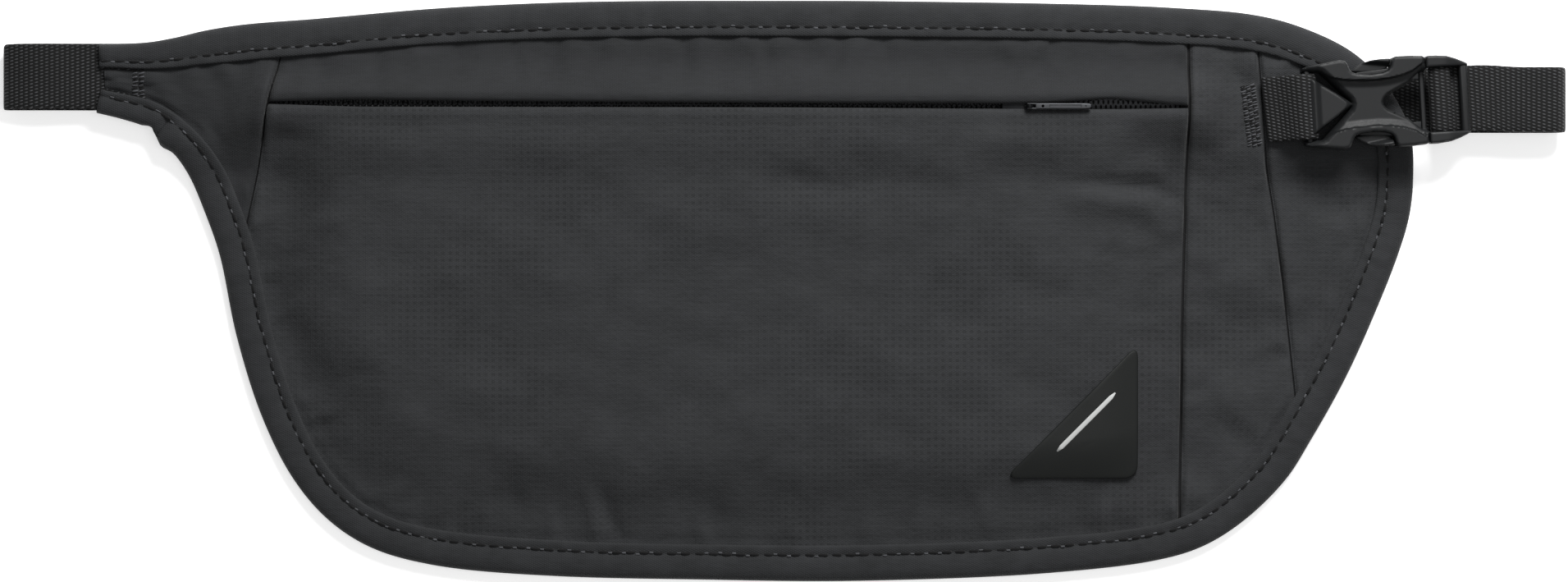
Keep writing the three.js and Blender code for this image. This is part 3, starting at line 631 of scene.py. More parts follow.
def border(start, end):
    """The hidden border from the point nearest start to the one nearest end."""
    i, j = hidden_index(start), hidden_index(end)
    return HIDDEN[i:j + 1] if i <= j else HIDDEN[j:i + 1][::-1]


def seam(table, low, high, side):
    """A seam from one height to another, a hair to one side of its middle."""
    y = np.linspace(low, high, 160)
    gap = 0.3 if table is SEAM_RIGHT else 0.2
    return np.stack([look(table, y) + side * gap, y], 1)


def crossing(table, near_y):
    """The point at which a seam meets the hidden border."""
    gap = np.abs(HIDDEN[:, 0] - look(table, HIDDEN[:, 1])) + 0.02 * np.abs(HIDDEN[:, 1] - near_y)
    y = float(HIDDEN[gap.argmin(), 1])
    return float(look(table, y)), y


def join(first, second):
    """Two lines end to end, without doubling a point that they share."""
    return np.vstack([first, second[1:] if np.allclose(second[0], first[-1]) else second])


def fit(line, start, end):
    """Moves a line's ends onto two points."""
    t = (arc_length(line) / arc_length(line)[-1])[:, None]
    return line + (np.array(start) - line[0]) * (1 - t) + (np.array(end) - line[-1]) * t


def panel(name, node, look_of, slot, bottom, top, left, right, lip=None):
    """A face panel between four sides; lip is the side turned under along the zip."""
    xy = coons(fit(bottom, left[0], right[0]), fit(top, left[-1], right[-1]), left, right)
    x, y = xy[..., 0], xy[..., 1]
    z = face(x, y)
    if lip is not None:
        near = np.abs(y - np.interp(x, lip[:, 0], lip[:, 1]))
        z = z - 0.55 * np.clip(1 - near / 0.8, 0, 1) ** 2 + 0.2 * np.exp(-((near - 1.8) / 1.1) ** 2)
    points, faces = shell(xy, z, PANEL_THICK)
    build(name, points, faces, look_of, "pouch", (node,), slot)


left_foot, left_head = crossing(SEAM_LEFT, 0), crossing(SEAM_LEFT, 60)
right_foot, right_head = crossing(SEAM_RIGHT, -60), crossing(SEAM_RIGHT, 62)
tab_foot, tab_head = crossing(SEAM_TAB, -33), crossing(SEAM_TAB, 60)
low_left, top_right, low_right = (HIDDEN[hidden_index(p)] for p in ((-107, -49), (131, 52), (141.5, 20)))

panel("pocket_front", "main_pocket_panel", RIPSTOP, "ripstop_fabric",
      border(right_foot, low_left)[::-1], LIP_LOWER,
      join(border(low_left, left_foot), seam(SEAM_LEFT, left_foot[1], LIP_LOWER[0, 1], 1)),
      seam(SEAM_RIGHT, right_foot[1], LIP_LOWER[-1, 1], -1), lip=LIP_LOWER)
panel("zip_header", "zip_header_panel", FACING, "facing_fabric",
      LIP_UPPER, border(left_head, right_head),
      seam(SEAM_LEFT, LIP_UPPER[0, 1], left_head[1], 1),
      seam(SEAM_RIGHT, LIP_UPPER[-1, 1], right_head[1], -1), lip=LIP_UPPER)
panel("strap_wing", "left_wing_panel", FACING, "facing_fabric",
      border(left_foot, (-158, 45))[::-1], border((-158, 53), left_head),
      resample(np.array([HIDDEN[-2], HIDDEN[1]]), step=0.5),
      seam(SEAM_LEFT, left_foot[1], left_head[1], -1))
panel("buckle_side_inner", "right_inner_panel", RIPSTOP, "ripstop_fabric",
      border(tab_foot, right_foot)[::-1], border(right_head, tab_head),
      seam(SEAM_RIGHT, right_foot[1], right_head[1], 1), seam(SEAM_TAB, tab_foot[1], tab_head[1], -1))
panel("buckle_side_outer", "right_outer_panel", RIPSTOP, "ripstop_fabric",
      border(low_right, tab_foot)[::-1], border(tab_head, top_right),
      seam(SEAM_TAB, tab_foot[1], tab_head[1], 1), border(top_right, low_right)[::-1])

# ---------------------------------------------------------------- edge binding and its stitches
STITCH_PITCH, STITCH_LINE = 3.2, 0.74    # the line is a share of the binding's width
# the fold in the binding near the strap, as a distance along the edge
pleat = OUTLINE_S - OUTLINE_S[nearest(np.array([-146.0]), np.array([36.6]), OUTLINE)[1][0]]
edge_shift = -0.9 * np.exp(-((pleat - 1.2) / 1.1) ** 2) + 1.1 * np.exp(-((pleat + 3.6) / 2.0) ** 2)
edge_shift += 0.12 * waves(OUTLINE_S, OUTLINE_S * 0, 5, 60, 1e9, 12)
BINDING_SECTION = [  # share of the width inwards, height, how far the stitching draws it down
    (1.0, 3.3, 0), (1.0, 3.6, 0), (0.985, 3.78, 0), (0.94, 3.92, 0.1), (0.86, 3.98, 0.3), (0.775, 3.99, 0.7),
    (0.74, 3.98, 1), (0.70, 3.98, 0.8), (0.62, 4.02, 0.3), (0.5, 4.04, 0.1), (0.34, 4.0, 0), (0.2, 3.86, 0),
    (0.1, 3.5, 0), (0.03, 2.9, 0), (0.0, 2.1, 0), (0.0, 1.5, 0), (0.04, 0.7, 0), (0.12, 0.2, 0),
    (0.25, 0.03, 0),
    (0.6, 0.0, 0), (0.95, 0.0, 0), (1.0, 0.15, 0), (1.0, 0.42, 0), (0.9, 0.5, 0), (0.16, 0.55, 0),
    (0.1, 1.0, 0), (0.1, 2.6, 0), (0.18, 3.1, 0), (0.9, 3.3, 0),
]
phase = (OUTLINE_S / STITCH_PITCH) % 1.0
pull_in = 0.34 + 0.12 * np.cos(2 * math.pi * phase)
ripple = 0.16 * waves(OUTLINE_S, OUTLINE_S * 0, 9, 14, 1e9, 21) \
    + 0.14 * waves(OUTLINE_S, OUTLINE_S * 0, 9, 5, 1e9, 22)
points, uv = [], []
for share, height, drawn in BINDING_SECTION:
    inwards = binding_width * share
    xy = OUTLINE + OUTLINE_IN * (inwards - edge_shift * (1 - share) ** 1.5)[:, None]
    z = lift(xy[:, 1]) + height
    if height > 3.2:
        z = z - drawn * pull_in + ripple * (0.4 + 0.9 * drawn) * (1 if share < 0.97 else 0.6)
        z = z - 1.1 * np.exp(-((pleat + 0.8) / 0.8) ** 2) * smooth((1 - share) * 2)
        z = z + 0.45 * np.exp(-((pleat + 3.4) / 1.4) ** 2) * smooth((1 - share) * 2)
        z = z + rise(xy[:, 0], xy[:, 1])
    points.append(np.stack([xy[:, 0], xy[:, 1], z], 1))
    uv.append(np.stack([OUTLINE_S, inwards * (1 if height > 2 else -1)], 1))
points = np.stack(points, 1).reshape(-1, 3)
uv = np.stack(uv, 1).reshape(-1, 2)
faces = swept_faces(len(OUTLINE), len(BINDING_SECTION))
build("edge_binding", points, faces, BINDING, "pouch",
      ("edge_binding_top", "edge_binding_buckle_side", "edge_binding_bottom", "edge_binding_strap_side"),
      "binding_tape", uv=uv)


def tube(path, radius, sides=6, flat=1.0):
    """Points and faces of a closed round or flattened strand along a path."""
    path = np.asarray(path, float)
    d = np.gradient(path, axis=0)
    d /= np.linalg.norm(d, axis=1)[:, None]
    up = np.array([0.0, 0.0, 1.0])
    side = np.cross(d, up)
    side /= np.linalg.norm(side, axis=1)[:, None] + 1e-9
    top = np.cross(side, d)
    radius = np.broadcast_to(radius, len(path))
    a = np.linspace(0, 2 * math.pi, sides, endpoint=False)
    ring = (side[:, None] * np.cos(a)[None, :, None] + top[:, None] * np.sin(a)[None, :, None] * flat)
    pts = (path[:, None] + ring * radius[:, None, None]).reshape(-1, 3)
    return pts, swept_faces(len(path), sides)


def gather(strands):
    points, faces, start = [], [], 0
    for pts, f in strands:
        points.append(pts)
        faces += [[v + start for v in one] for one in f]
        start += len(pts)
    return np.vstack(points), faces


def binding_top(s, share):
    """A point on the binding's face, and its inward direction."""
    x, y = (np.interp(s, OUTLINE_S, OUTLINE[:, k]) for k in (0, 1))
    dx, dy = (np.interp(s, OUTLINE_S, OUTLINE_IN[:, k]) for k in (0, 1))
    w = np.interp(s, OUTLINE_S, binding_width) * share
    px, py = x + dx * w, y + dy * w
    return np.stack([px, py, lift(py) + 3.98 - 0.3 + rise(px, py)], -1)


STITCH_HALF = 1.12
rng = np.random.RandomState(4)
stitches, knots = [], []
for k in range(int(total_s / STITCH_PITCH)):
    middle = (k + 0.5) * STITCH_PITCH
    span = np.linspace(-STITCH_HALF, STITCH_HALF, 7)
    line = binding_top(middle + span, STITCH_LINE + rng.uniform(-0.006, 0.006))
    line[:, 2] += 0.10 - 0.22 * (span / STITCH_HALF) ** 4
    stitches.append(tube(line, 0.38 * np.array([0.55, 0.85, 1, 1, 1, 0.85, 0.55]), flat=0.8))
    if rng.uniform() < 0.7:
        span = np.linspace(-0.45, 0.45, 4)
        line = binding_top(middle + STITCH_PITCH / 2 + span, STITCH_LINE + rng.uniform(-0.04, 0.04))
        line[:, 2] += 0.14
        knots.append(tube(line, rng.uniform(0.14, 0.24), flat=0.8))
# the long stitches are near black as painted shade of the pits they lie in; the short locks between them are
# the thread's own grey
build("edge_stitches_painted_dark_as_shade", *gather(stitches), THREAD_PAINTED_SHADE, "pouch", slot="thread")
build("edge_stitch_locks", *gather(knots), THREAD, "pouch", slot="thread")


# ---------------------------------------------------------------- bar tacks
def bartack(name, node, low, high, width, rows, pitch=0.62):
    """Dense zigzag sewing between two points, on the face of the cloth."""
    low, high = np.array(low, float), np.array(high, float)
    d = (high - low) / np.linalg.norm(high - low)
    side = np.array([d[1], -d[0]])
    count = int(np.linalg.norm(high - low) / pitch)
    strands = []
    rng = np.random.RandomState(len(name))
    for row in range(rows):
        base = (row + 0.5) / rows - 0.5
        for i in range(count):
            a = low + d * (i * pitch) + side * (base - 0.46 / rows) * width
            b = low + d * ((i + 0.75) * pitch) + side * (base + 0.46 / rows) * width
            line = resample(np.array([a, b]) + rng.uniform(-0.16, 0.16, (2, 2)), at=np.linspace(0, 1, 5))
            z = face(line[:, 0], line[:, 1]) + 0.08 + np.array([-0.2, 0.08, 0.14, 0.08, -0.2])
            strands.append(tube(np.column_stack([line, z]), rng.uniform(0.13, 0.2), flat=0.9))
    # three strands in five are near-black thread: painted shade in the dense zigzag
    light, dark = ([one for i, one in enumerate(strands) if (i % 5 in (1, 3, 4)) == shaded]
                   for shaded in (False, True))
    build(name, *gather(light), THREAD, "pouch", (node,), "thread")
    build(name + "_threads_painted_as_shade", *gather(dark), THREAD_PAINTED_SHADE, "pouch", slot="thread")


bartack("strap_bar_tack", "strap_bartack", (-149.4, 45.4), (-149.4, 51.8), 3.0, 2, 0.4)
bartack("tab_bar_tack", "tab_bartack", (108.9, 33.7), (107.2, 47.8), 3.4, 3, 0.3)


# ---------------------------------------------------------------- webbing
WEB_FACE = [(-7.5, 0.0), (-7.42, 0.3), (-7.1, 0.46), (-6.4, 0.5), (-3.2, 0.5), (0, 0.5), (3.2, 0.5),
            (6.4, 0.5), (7.1, 0.46), (7.42, 0.3)]
WEB_SECTION = WEB_FACE + [(-v, -h) for v, h in WEB_FACE]


def arc(x, z, radius, start, end, count=14):
    a = np.radians(np.linspace(start, end, count + 1))
    return np.stack([x + radius * np.cos(a), z + radius * np.sin(a)], 1)


def run(x0, x1, z, step=1.5):
    x = np.linspace(x0, x1, max(2, int(abs(x1 - x0) / step)))
    return np.stack([x, np.full(len(x), z)], 1)


def strap(path, place):
    """Webbing along a path in XZ; place puts (x, across, z) into the frame."""
    path = np.vstack([path[0]] + [q for p, q in zip(path, path[1:]) if np.linalg.norm(q - p) > 1e-3])
    path = resample(path, step=0.8)
    s = arc_length(path)
    d = np.gradient(path, axis=0)
    d /= np.linalg.norm(d, axis=1)[:, None]
    normal = np.stack([-d[:, 1], d[:, 0]], 1)
    points, uv = [], []
    for i in range(len(path)):
        for v, h in WEB_SECTION:
            points.append(place(path[i, 0] + normal[i, 0] * h, v, path[i, 1] + normal[i, 1] * h))
            uv.append((s[i], v))
    return np.array(points), swept_faces(len(path), len(WEB_SECTION)), np.array(uv)


ENDS_X, BACK_Z, TAIL_Z = 181.0, 1.8, 0.5
FRONT_LEFT_Z = LIFT + 1.65 + WEB_THICK / 2
left_bend = FRONT_LEFT_Z - BACK_Z
left_centre = -ENDS_X + 1.03 + WEB_THICK / 2
LOAD_Z = 6.9
TAIL_TOP_Z = LOAD_Z + WEB_THICK + 0.3
bend_z, inner_bend = (BACK_Z + LOAD_Z) / 2, (LOAD_Z - BACK_Z) / 2
outer_bend = (TAIL_TOP_Z - TAIL_Z) / 2
bend_x = ENDS_X - outer_bend - WEB_THICK / 2
SLOT_IN, OVER_BAR_Z, SLOT_OUT = 10.95, 11.4, 14.9
BX = BUCKLE_AT[0]


def back_run_y(x):
    return mix(49.4, 44.2, smooth((x + 175) / 350))


def tail_y(x):
    return mix(47.4, 44.2, smooth((x + 136) / 310))


def place_strap(x, v, z):
    """Where the waist strap lies: behind the pouch, over its left end, or turned with the buckle."""
    if x < 100 and z < 3:
        return (x, v + back_run_y(x), z)
    if x < 0:
        return (x, v + mix(back_run_y(x), 49.75, float(smooth((z - BACK_Z) / left_bend))), z)
    u = x - BX
    straight = float(smooth((u - 20) / 12))
    if z < bend_z and x < bend_x:
        return (x, v + back_run_y(x), z)
    turn = BUCKLE_TURN * (1 - straight)
    squeeze = mix(math.cos(BUCKLE_TURN), 1, straight)
    laced = BUCKLE_AT[1] + math.sin(BUCKLE_TURN) * min(u, 26)
    return (BX + u * squeeze - v * math.sin(turn), mix(laced, 44.2, straight) + v * math.cos(turn), z)


load_path = np.vstack([
    run(-147.6, -160, FRONT_LEFT_Z),
    catmull([(-160, FRONT_LEFT_Z), (-165, FRONT_LEFT_Z + 0.2), (-170, FRONT_LEFT_Z + 0.55),
             (-174, FRONT_LEFT_Z + 0.35), (-177.2, FRONT_LEFT_Z - 0.3), (left_centre, BACK_Z + 2.05)], 0.8),
    arc(left_centre, BACK_Z + 1.03, 1.03, 90, 270),
    run(left_centre, bend_x, BACK_Z, 4), arc(bend_x, bend_z, inner_bend, -90, 90),
    run(bend_x, BX + SLOT_IN + 1, LOAD_Z), arc(BX + SLOT_IN + 1, LOAD_Z + 1, 1, 270, 180, 8),
    arc(BX + SLOT_IN + 1, OVER_BAR_Z - 1, 1, 180, 90, 8),
    arc(BX + SLOT_OUT - 0.9, OVER_BAR_Z - 0.9, 0.9, 90, 0, 8),
    arc(BX + SLOT_OUT + 1, TAIL_TOP_Z + 1, 1, 180, 270, 8), run(BX + SLOT_OUT + 1, bend_x, TAIL_TOP_Z),
    arc(bend_x, (TAIL_TOP_Z + TAIL_Z) / 2, outer_bend, 90, -90, 18),
])
points, faces, uv = strap(load_path, place_strap)
waist = build("waist_strap", points, faces, WEBBING, None, ("waist_strap_sewn_length",), "webbing", uv=uv)
points, faces, uv = strap(run(bend_x - 0.05, -136, TAIL_Z, 4), lambda x, v, z: (x, v + tail_y(x), z))
build("strap_tail", points, faces, WEBBING, "buckle_plug", ("waist_strap_adjusting_length",), "webbing",
      uv=uv)


def local(u, v, z):
    c, s = math.cos(BUCKLE_TURN), math.sin(BUCKLE_TURN)
    return (BX + u * c - v * s, BUCKLE_AT[1] + u * s + v * c, z)


TAB_Z = LIFT + FRONT + CLOTH + 0.3 + WEB_THICK / 2
BAR_U, BAR_Z = (-18.3, -16.9), (9.2, 11.0)
loop_top, loop_low = BAR_Z[1] + 0.8, BAR_Z[0] - 0.8
tab_path = np.vstack([
    catmull([(-27.2, TAB_Z + 0.35), (-25.6, TAB_Z + 1.15), (-23.8, TAB_Z + 1.9), (-20.6, 10.7),
             (-18.9, 11.6), (BAR_U[1] - 0.5, loop_top)], 0.6),
    arc(BAR_U[1] - 0.4, loop_top - 1.2, 1.2, 90, 0, 8), arc(BAR_U[1] - 0.4, loop_low + 1.2, 1.2, 0, -90, 8),
    catmull([(BAR_U[1] - 0.5, loop_low), (-19.4, 8.15), (-23.6, TAB_Z + 0.15), (-26.4, TAB_Z)], 0.6),
])
points, faces, uv = strap(tab_path, lambda u, v, z: local(u - 0.055 * v * smooth((-17 - u) / 8), v, z))
build("socket_tab", points, faces, WEBBING, "pouch", ("buckle_tab",), "webbing", uv=uv)


# ---------------------------------------------------------------- buckle
SLIVER = 1e-4  # twice the area, in square millimetres, of a face too thin to keep


def evaluated(obj):
    """A new mesh of what an object's curve or modifier makes."""
    bpy.context.view_layer.update()
    return bpy.data.meshes.new_from_object(obj.evaluated_get(bpy.context.evaluated_depsgraph_get()))


def rectangle(u0, u1, v0, v1):
    return [(u0, v0), (u1, v0), (u1, v1), (u0, v1)]


def circle(u, v, radius, sides):
    turn = np.linspace(0, 2 * math.pi, sides, endpoint=False)
    return [(u + radius * math.cos(a), v + radius * math.sin(a)) for a in turn]


def flip(points, side):
    """An outline on one side of the buckle's middle line, or its mirror image."""
    return [(u, v * side) for u, v in points]


def plate(outline, z0, z1, bevel, segments=3):
    """An extruded outline with rounded edges."""
    data = bpy.data.curves.new("outline", "CURVE")
    data.dimensions, data.fill_mode = "2D", "BOTH"
    data.extrude, data.bevel_depth = ((z1 - z0) / 2 - bevel) * MM, bevel * MM
    data.bevel_resolution, data.offset = segments, -bevel * MM
    line = data.splines.new("POLY")
    line.points.add(len(outline) - 1)
    for p, (u, v) in zip(line.points, outline):
        p.co = (u * MM, v * MM, 0, 1)
    line.use_cyclic_u = True
    curve = link("outline", data)
    mesh = evaluated(curve)
    bpy.data.objects.remove(curve)
    mesh.transform(Matrix.Translation((0, 0, (z0 + z1) / 2 * MM)))
    out = link("plate", mesh)
    clean(out, 0.002)
    return out


def solid(low, high):
    """A closed solid between two rings of as many points."""
    n = len(low)
    faces = [[i, (i + 1) % n, n + (i + 1) % n, n + i] for i in range(n)]
    out = new_object("solid", [*low, *high], faces + [list(range(n))[::-1], list(range(n, 2 * n))])
    clean(out)
    return out


def frustum(low, high, z0, z1):
    """A cutter whose outline grows from one ring to another."""
    return solid([(u, v, z0) for u, v in low], [(u, v, z1) for u, v in high])


def combine(base, others, operation="DIFFERENCE"):
    for other in others:
        cut = base.modifiers.new("cut", "BOOLEAN")
        cut.operation, cut.object, cut.solver = operation, other, "EXACT"
        mesh = evaluated(base)
        base.modifiers.clear()
        base.data = mesh
        bpy.data.objects.remove(other)
    return base


def merge_objects(objects):
    bm = bmesh.new()
    for o in objects:
        bm.from_mesh(o.data)
    mesh = bpy.data.meshes.new("joined")
    bm.to_mesh(mesh)
    bm.free()
    for o in objects:
        bpy.data.objects.remove(o)
    return link("joined", mesh)


def in_buckle(obj, name, body, node, sharp=32):
    """Turns a piece from the buckle's own frame into the part's, and finishes it."""
    obj.name = obj.data.name = name
    c, s = math.cos(BUCKLE_TURN), math.sin(BUCKLE_TURN)
    x, y = BX * MM, BUCKLE_AT[1] * MM
    obj.data.transform(Matrix(((c, -s, 0, x), (s, c, 0, y), (0, 0, 1, 0), (0, 0, 0, 1))))
    finish_piece(obj, ACETAL, body, (node,), sharp)


def rounded(points, rounds=2):
    """Corner cutting, for a smooth closed outline."""
    p = np.array(points, float)
    for _ in range(rounds):
        q = np.roll(p, -1, axis=0)
        p = np.stack([p * 0.82 + q * 0.18, p * 0.18 + q * 0.82], 1).reshape(-1, 2)
    return [tuple(v) for v in p]


def inside(points, ring):
    """Which points lie inside a closed outline."""
    x, y = points[:, 0], points[:, 1]
    result = np.zeros(len(points), bool)
    for (x0, y0), (x1, y1) in zip(ring, ring[1:] + ring[:1]):
        if y0 != y1:
            result ^= ((y0 > y) != (y1 > y)) & (x < (x1 - x0) * (y - y0) / (y1 - y0) + x0)
    return result


def to_edges(points, ring):
    """Distance to the nearest side of a closed outline."""
    best = np.full(len(points), 1e9)
    for a, b in zip(ring, ring[1:] + ring[:1]):
        a, b = np.array(a, float), np.array(b, float)
        d = b - a
        t = np.clip(((points - a) @ d) / max(d @ d, 1e-12), 0, 1)
        best = np.minimum(best, np.linalg.norm(points - a - t[:, None] * d, axis=1))
    return best


def relief(outline, top, bottom, grid=0.26):
    """A moulding over a flat outline; top and bottom give heights from (u, v, distance to the edge)."""
    ring = [tuple(p) for p in outline]
    fine = [tuple(p) for p in resample(np.array(ring + ring[:1], float), step=grid * 0.9)[:-1]]
    edges = [(i, (i + 1) % len(fine)) for i in range(len(fine))]
    u0, v0 = np.min(fine, 0)
    u1, v1 = np.max(fine, 0)
    gu, gv = np.meshgrid(np.arange(u0, u1, grid), np.arange(v0, v1, grid * 0.87), indexing="ij")
    gu = gu + grid / 2 * (np.arange(gu.shape[1]) % 2)[None]
    inner = np.stack([gu.ravel(), gv.ravel()], 1)
    inner = inner[inside(inner, fine)]
    inner = inner[to_edges(inner, ring) > grid * 0.45]
    points = fine + [tuple(q) for q in inner]
    verts, _, tris, *_ = delaunay_2d_cdt([Vector(q) for q in points], edges, [], 0, 1e-6)
    verts = np.array([tuple(q) for q in verts])
    tris = np.array(tris)
    keep = inside(verts[tris].mean(1), fine)
    (ax, ay), (bx, by) = (verts[tris[:, k]].T - verts[tris[:, 0]].T for k in (1, 2))
    keep &= np.abs(ax * by - ay * bx) > SLIVER          # points in a straight line make no face
    tris = tris[keep]
    d = to_edges(verts, ring)
    up, down = (np.column_stack([verts, height(verts[:, 0], verts[:, 1], d)]) for height in (top, bottom))
    n = len(verts)
    used = dict.fromkeys((a, b) for t in tris.tolist() for a, b in zip(t, t[1:] + t[:1]))
    walls = [[b, a, a + n, b + n] for a, b in used if (b, a) not in used]
    obj = new_object("relief", np.vstack([up, down]), tris.tolist() + (tris[:, ::-1] + n).tolist() + walls)
    clean(obj)
    return obj


def ease(d, radius):
    """How far a rounded edge falls below its flat, at a distance from the edge."""
    k = np.clip(1 - d / radius, 0, 1)
    return radius * (1 - np.sqrt(np.clip(1 - k * k, 0, 1)))


def to_line(u, v, points):
    """Distance to an open line: to the outline that runs along it and back."""
    pts = np.stack([np.ravel(u), np.ravel(v)], 1)
    return to_edges(pts, list(points) + list(points)[::-1]).reshape(np.shape(u))


# the socket's outline from the bar end round to the mouth, then the hole between its arms
socket_outline = [(-18.9, 8.0), (-18.75, 8.9), (-17.6, 9.25), (-14, 9.75), (-10.2, 10.25), (-8.9, 10.0),
                  (-8.4, 9.3), (-7.9, 7.9), (-7.3, 7.25), (-6.2, 6.9), (-3.2, 6.65), (-0.6, 6.85), (0.7, 7.3),
                  (1.4, 8.0), (1.8, 9.4), (2.1, 10.15), (2.8, 10.4), (6, 10.35), (8.9, 10.15), (9.35, 9.8),
                  (9.35, 7.2), (5.5, 4.0), (0.7, 1.6), (0.0, 1.1), (-0.3, 0.5)]
socket_hole = [(-7.75, -0.45), (-8.1, -1.1), (-14.5, -7.6), (-15.1, -7.85), (-18.7, -7.85)]
socket_outline += flip(socket_outline[::-1], -1) + socket_hole + flip(socket_hole[::-1], -1)
SOCKET_ARC = [(-16.5, 8.6), (-14.6, 7.7), (-12, 6.35), (-9.5, 5.75), (-6, 5.45), (-2, 5.35), (1, 5.55),
              (4, 6.1), (6.5, 7.0), (8.4, 8.3), (9.6, 9.2)]
HOLE_HALF = [(-18.7, 7.85), (-15.1, 7.85), (-14.5, 7.6), (-8.1, 1.1)]
NOTCH_HALF = [(9.35, 7.2), (5.5, 4.0), (0.7, 1.6)]
SOCKET_Z, LANE_Z, PRONG_Z = (6.9, 13.4), (8.6, 11.6), (8.9, 11.4)


def socket_top(u, v, d):
    below = np.interp(u, *zip(*SOCKET_ARC)) - np.abs(v)  # how far inside the arc, towards the waist
    waist = 0.95 * smooth((below + 0.15) / 0.5) + 0.55 * smooth((below - 0.3) / 1.6)
    waist = waist * smooth((9.6 - u) / 1.5) * smooth((u + 16.5) / 2)
    hole = to_line(u, v, HOLE_HALF + [(-7.75, 0)] + flip(HOLE_HALF[::-1], -1))
    notch = to_line(u, v, NOTCH_HALF + [(-0.3, 0)] + flip(NOTCH_HALF[::-1], -1))
    chamfer = 0.9 * np.clip(1 - hole / 1.15, 0, 1) + 0.5 * np.clip(1 - notch / 0.7, 0, 1)
    tip = 1.9 * smooth((-14.5 - u) / 4.5)              # the arms thin down towards the bar
    return SOCKET_Z[1] - waist - chamfer - tip - ease(d, 0.75)


socket = relief(socket_outline, socket_top, lambda u, v, d: SOCKET_Z[0] + ease(d, 0.7))
lane = rectangle(-7.6, 9.9, 2.5, 8.6)
socket = combine(socket, [frustum(flip(lane, k), flip(lane, k), *LANE_Z) for k in (1, -1)])
bar = plate(rectangle(*BAR_U, -8.6, 8.6), *BAR_Z, 0.55)
in_buckle(merge_objects([socket, bar]), "buckle_socket_body", "pouch", "buckle_socket")

rail = [(9.62, 7.42), (9.62, 9.6), (9.9, 10.05), (10.6, 10.12), (12, 10.1), (14.5, 9.85), (16.6, 9.2),
        (18.6, 8.35), (19.35, 7.9), (19.4, 7.42)]
pieces = [relief(flip(rail, k), lambda u, v, d: 13.05 - 1.5 * smooth((u - 13.5) / 6) - ease(d, 0.6),
                 lambda u, v, d: 7.25 + 1.2 * smooth((u - 13.5) / 6) + ease(d, 0.6)) for k in (1, -1)]
pieces.append(plate(rectangle(17.3, 19.35, -8.1, 8.1), 9.0, 11.3, 0.8, 4))
pieces.append(plate(rectangle(11.8, 14.0, -8, 8), 8.4, 10.5, 0.6))
cross_bar = [(8.2, 7.6), (9.2, 7.9), (9.7, 9.4), (10.15, 9.4), (10.15, 7.6), (9.5, 6.9), (9.35, 6.2)]
pieces.append(relief(flip(cross_bar, -1) + cross_bar[::-1],
                     lambda u, v, d: PRONG_Z[1] - 1.3 * smooth((7.6 - np.abs(v)) / 1.2) - ease(d, 0.3),
                     lambda u, v, d: PRONG_Z[0] + ease(d, 0.3)))
in_buckle(merge_objects(pieces), "buckle_plug_frame", "buckle_plug", "buckle_plug")

ARM = [(8, 4.8), (8, 7.2), (5.2, 7.8), (2.0, 7.9), (-6.2, 7.3), (-6.8, 6.6), (-5.5, 6.0), (0, 5.6),
       (4.4, 5.0)]
PAD = [(-7.45, 7.45), (-7.0, 7.35), (-5.6, 7.2), (-3.2, 7.1), (-0.8, 7.25), (0.5, 7.6), (1.25, 8.3),
       (1.6, 9.3), (1.8, 9.95), (0.6, 10.0), (-1.0, 9.98), (-3, 9.8), (-4.8, 9.3), (-6.2, 8.6), (-7.1, 7.9)]
PAD_Z = (8.95, 11.35)


def swell(u, v, d):
    """The pad thickens only outside the strip that goes under the socket when it is pinched."""
    free = np.abs(v) - 7.15 - 0.139 * (8 - u)
    return 1.45 * smooth(free / 1.3) * smooth((u + 7.3) / 1.6) * smooth((1.9 - u) / 0.7) - ease(d, 0.4)


# the springy arms, each with a domed thumb pad at its end
for which, side in (("upper", 1), ("lower", -1)):
    arm = plate(flip(ARM, side), *PRONG_Z, 0.3)
    pad = relief(flip(PAD, side), lambda u, v, d: PAD_Z[1] + swell(u, v, d),
                 lambda u, v, d: PAD_Z[0] - swell(u, v, d), grid=0.22)
    in_buckle(merge_objects([arm, pad]), f"buckle_arm_{which}", f"prong_{which}", f"buckle_prong_{which}", 50)

# ---------------------------------------------------------------- zip
def coil_edge(x, lips):
    """How far the inner edge of the coil lies from the zip's middle line."""
    opened = np.maximum(mix(0.15, 0.7, np.clip((x - 51) / 4, 0, 1)), np.minimum(look(lips, x) - 0.2, 2))
    return np.where(x <= 51, 0.15, opened)


COIL_LOW, COIL_TOP, TOOTH_PITCH = LIFT + 4.1, LIFT + 5.1, 1.4
for which, side, lips in (("upper", 1, LIP_UP), ("lower", -1, LIP_DOWN)):
    teeth = []
    for x in np.arange(-118.2, 92.6, TOOTH_PITCH):
        x = x + (TOOTH_PITCH / 2 if side < 0 else 0)
        inner = float(coil_edge(np.array(x), lips)) + 0.02
        offs = np.array([inner, inner + 0.25, inner + 0.6, inner + 1.3, inner + 2.2])
        y = zip_y(x) + side * offs
        z = (COIL_LOW + COIL_TOP) / 2 + np.array([0, 0.02, 0.04, 0.02, -0.05])
        teeth.append(tube(np.stack([np.full(5, x), y, z], 1), np.array([0.3, 0.46, 0.42, 0.36, 0.34]), 8))
    build(f"zip_teeth_{which}", *gather(teeth), COIL, "pouch", (f"zip_coil_{which}",), "zip_coil")
    x = np.arange(-118.4, 92.8, 1.6)
    share = np.linspace(0, 1, 6)
    inner, outer = coil_edge(x, lips) + 1.7, np.full(len(x), 4.8)
    v = inner[:, None] + (outer - inner)[:, None] * share[None]
    xy = np.stack([np.broadcast_to(x[:, None], v.shape), zip_y(x)[:, None] + side * v], 2)
    top = np.full(v.shape, COIL_LOW + 0.66) + 0.04 * waves(xy[..., 0], xy[..., 1], 4, 15, 9, 2)
    points, faces = shell(xy, top, 0.36)
    build(f"zip_tape_cloth_{which}", points, faces, TAPE, "pouch", (f"zip_tape_{which}",), "zip_tape")

slider_y = float(zip_y(PULL_PIVOT[0]))


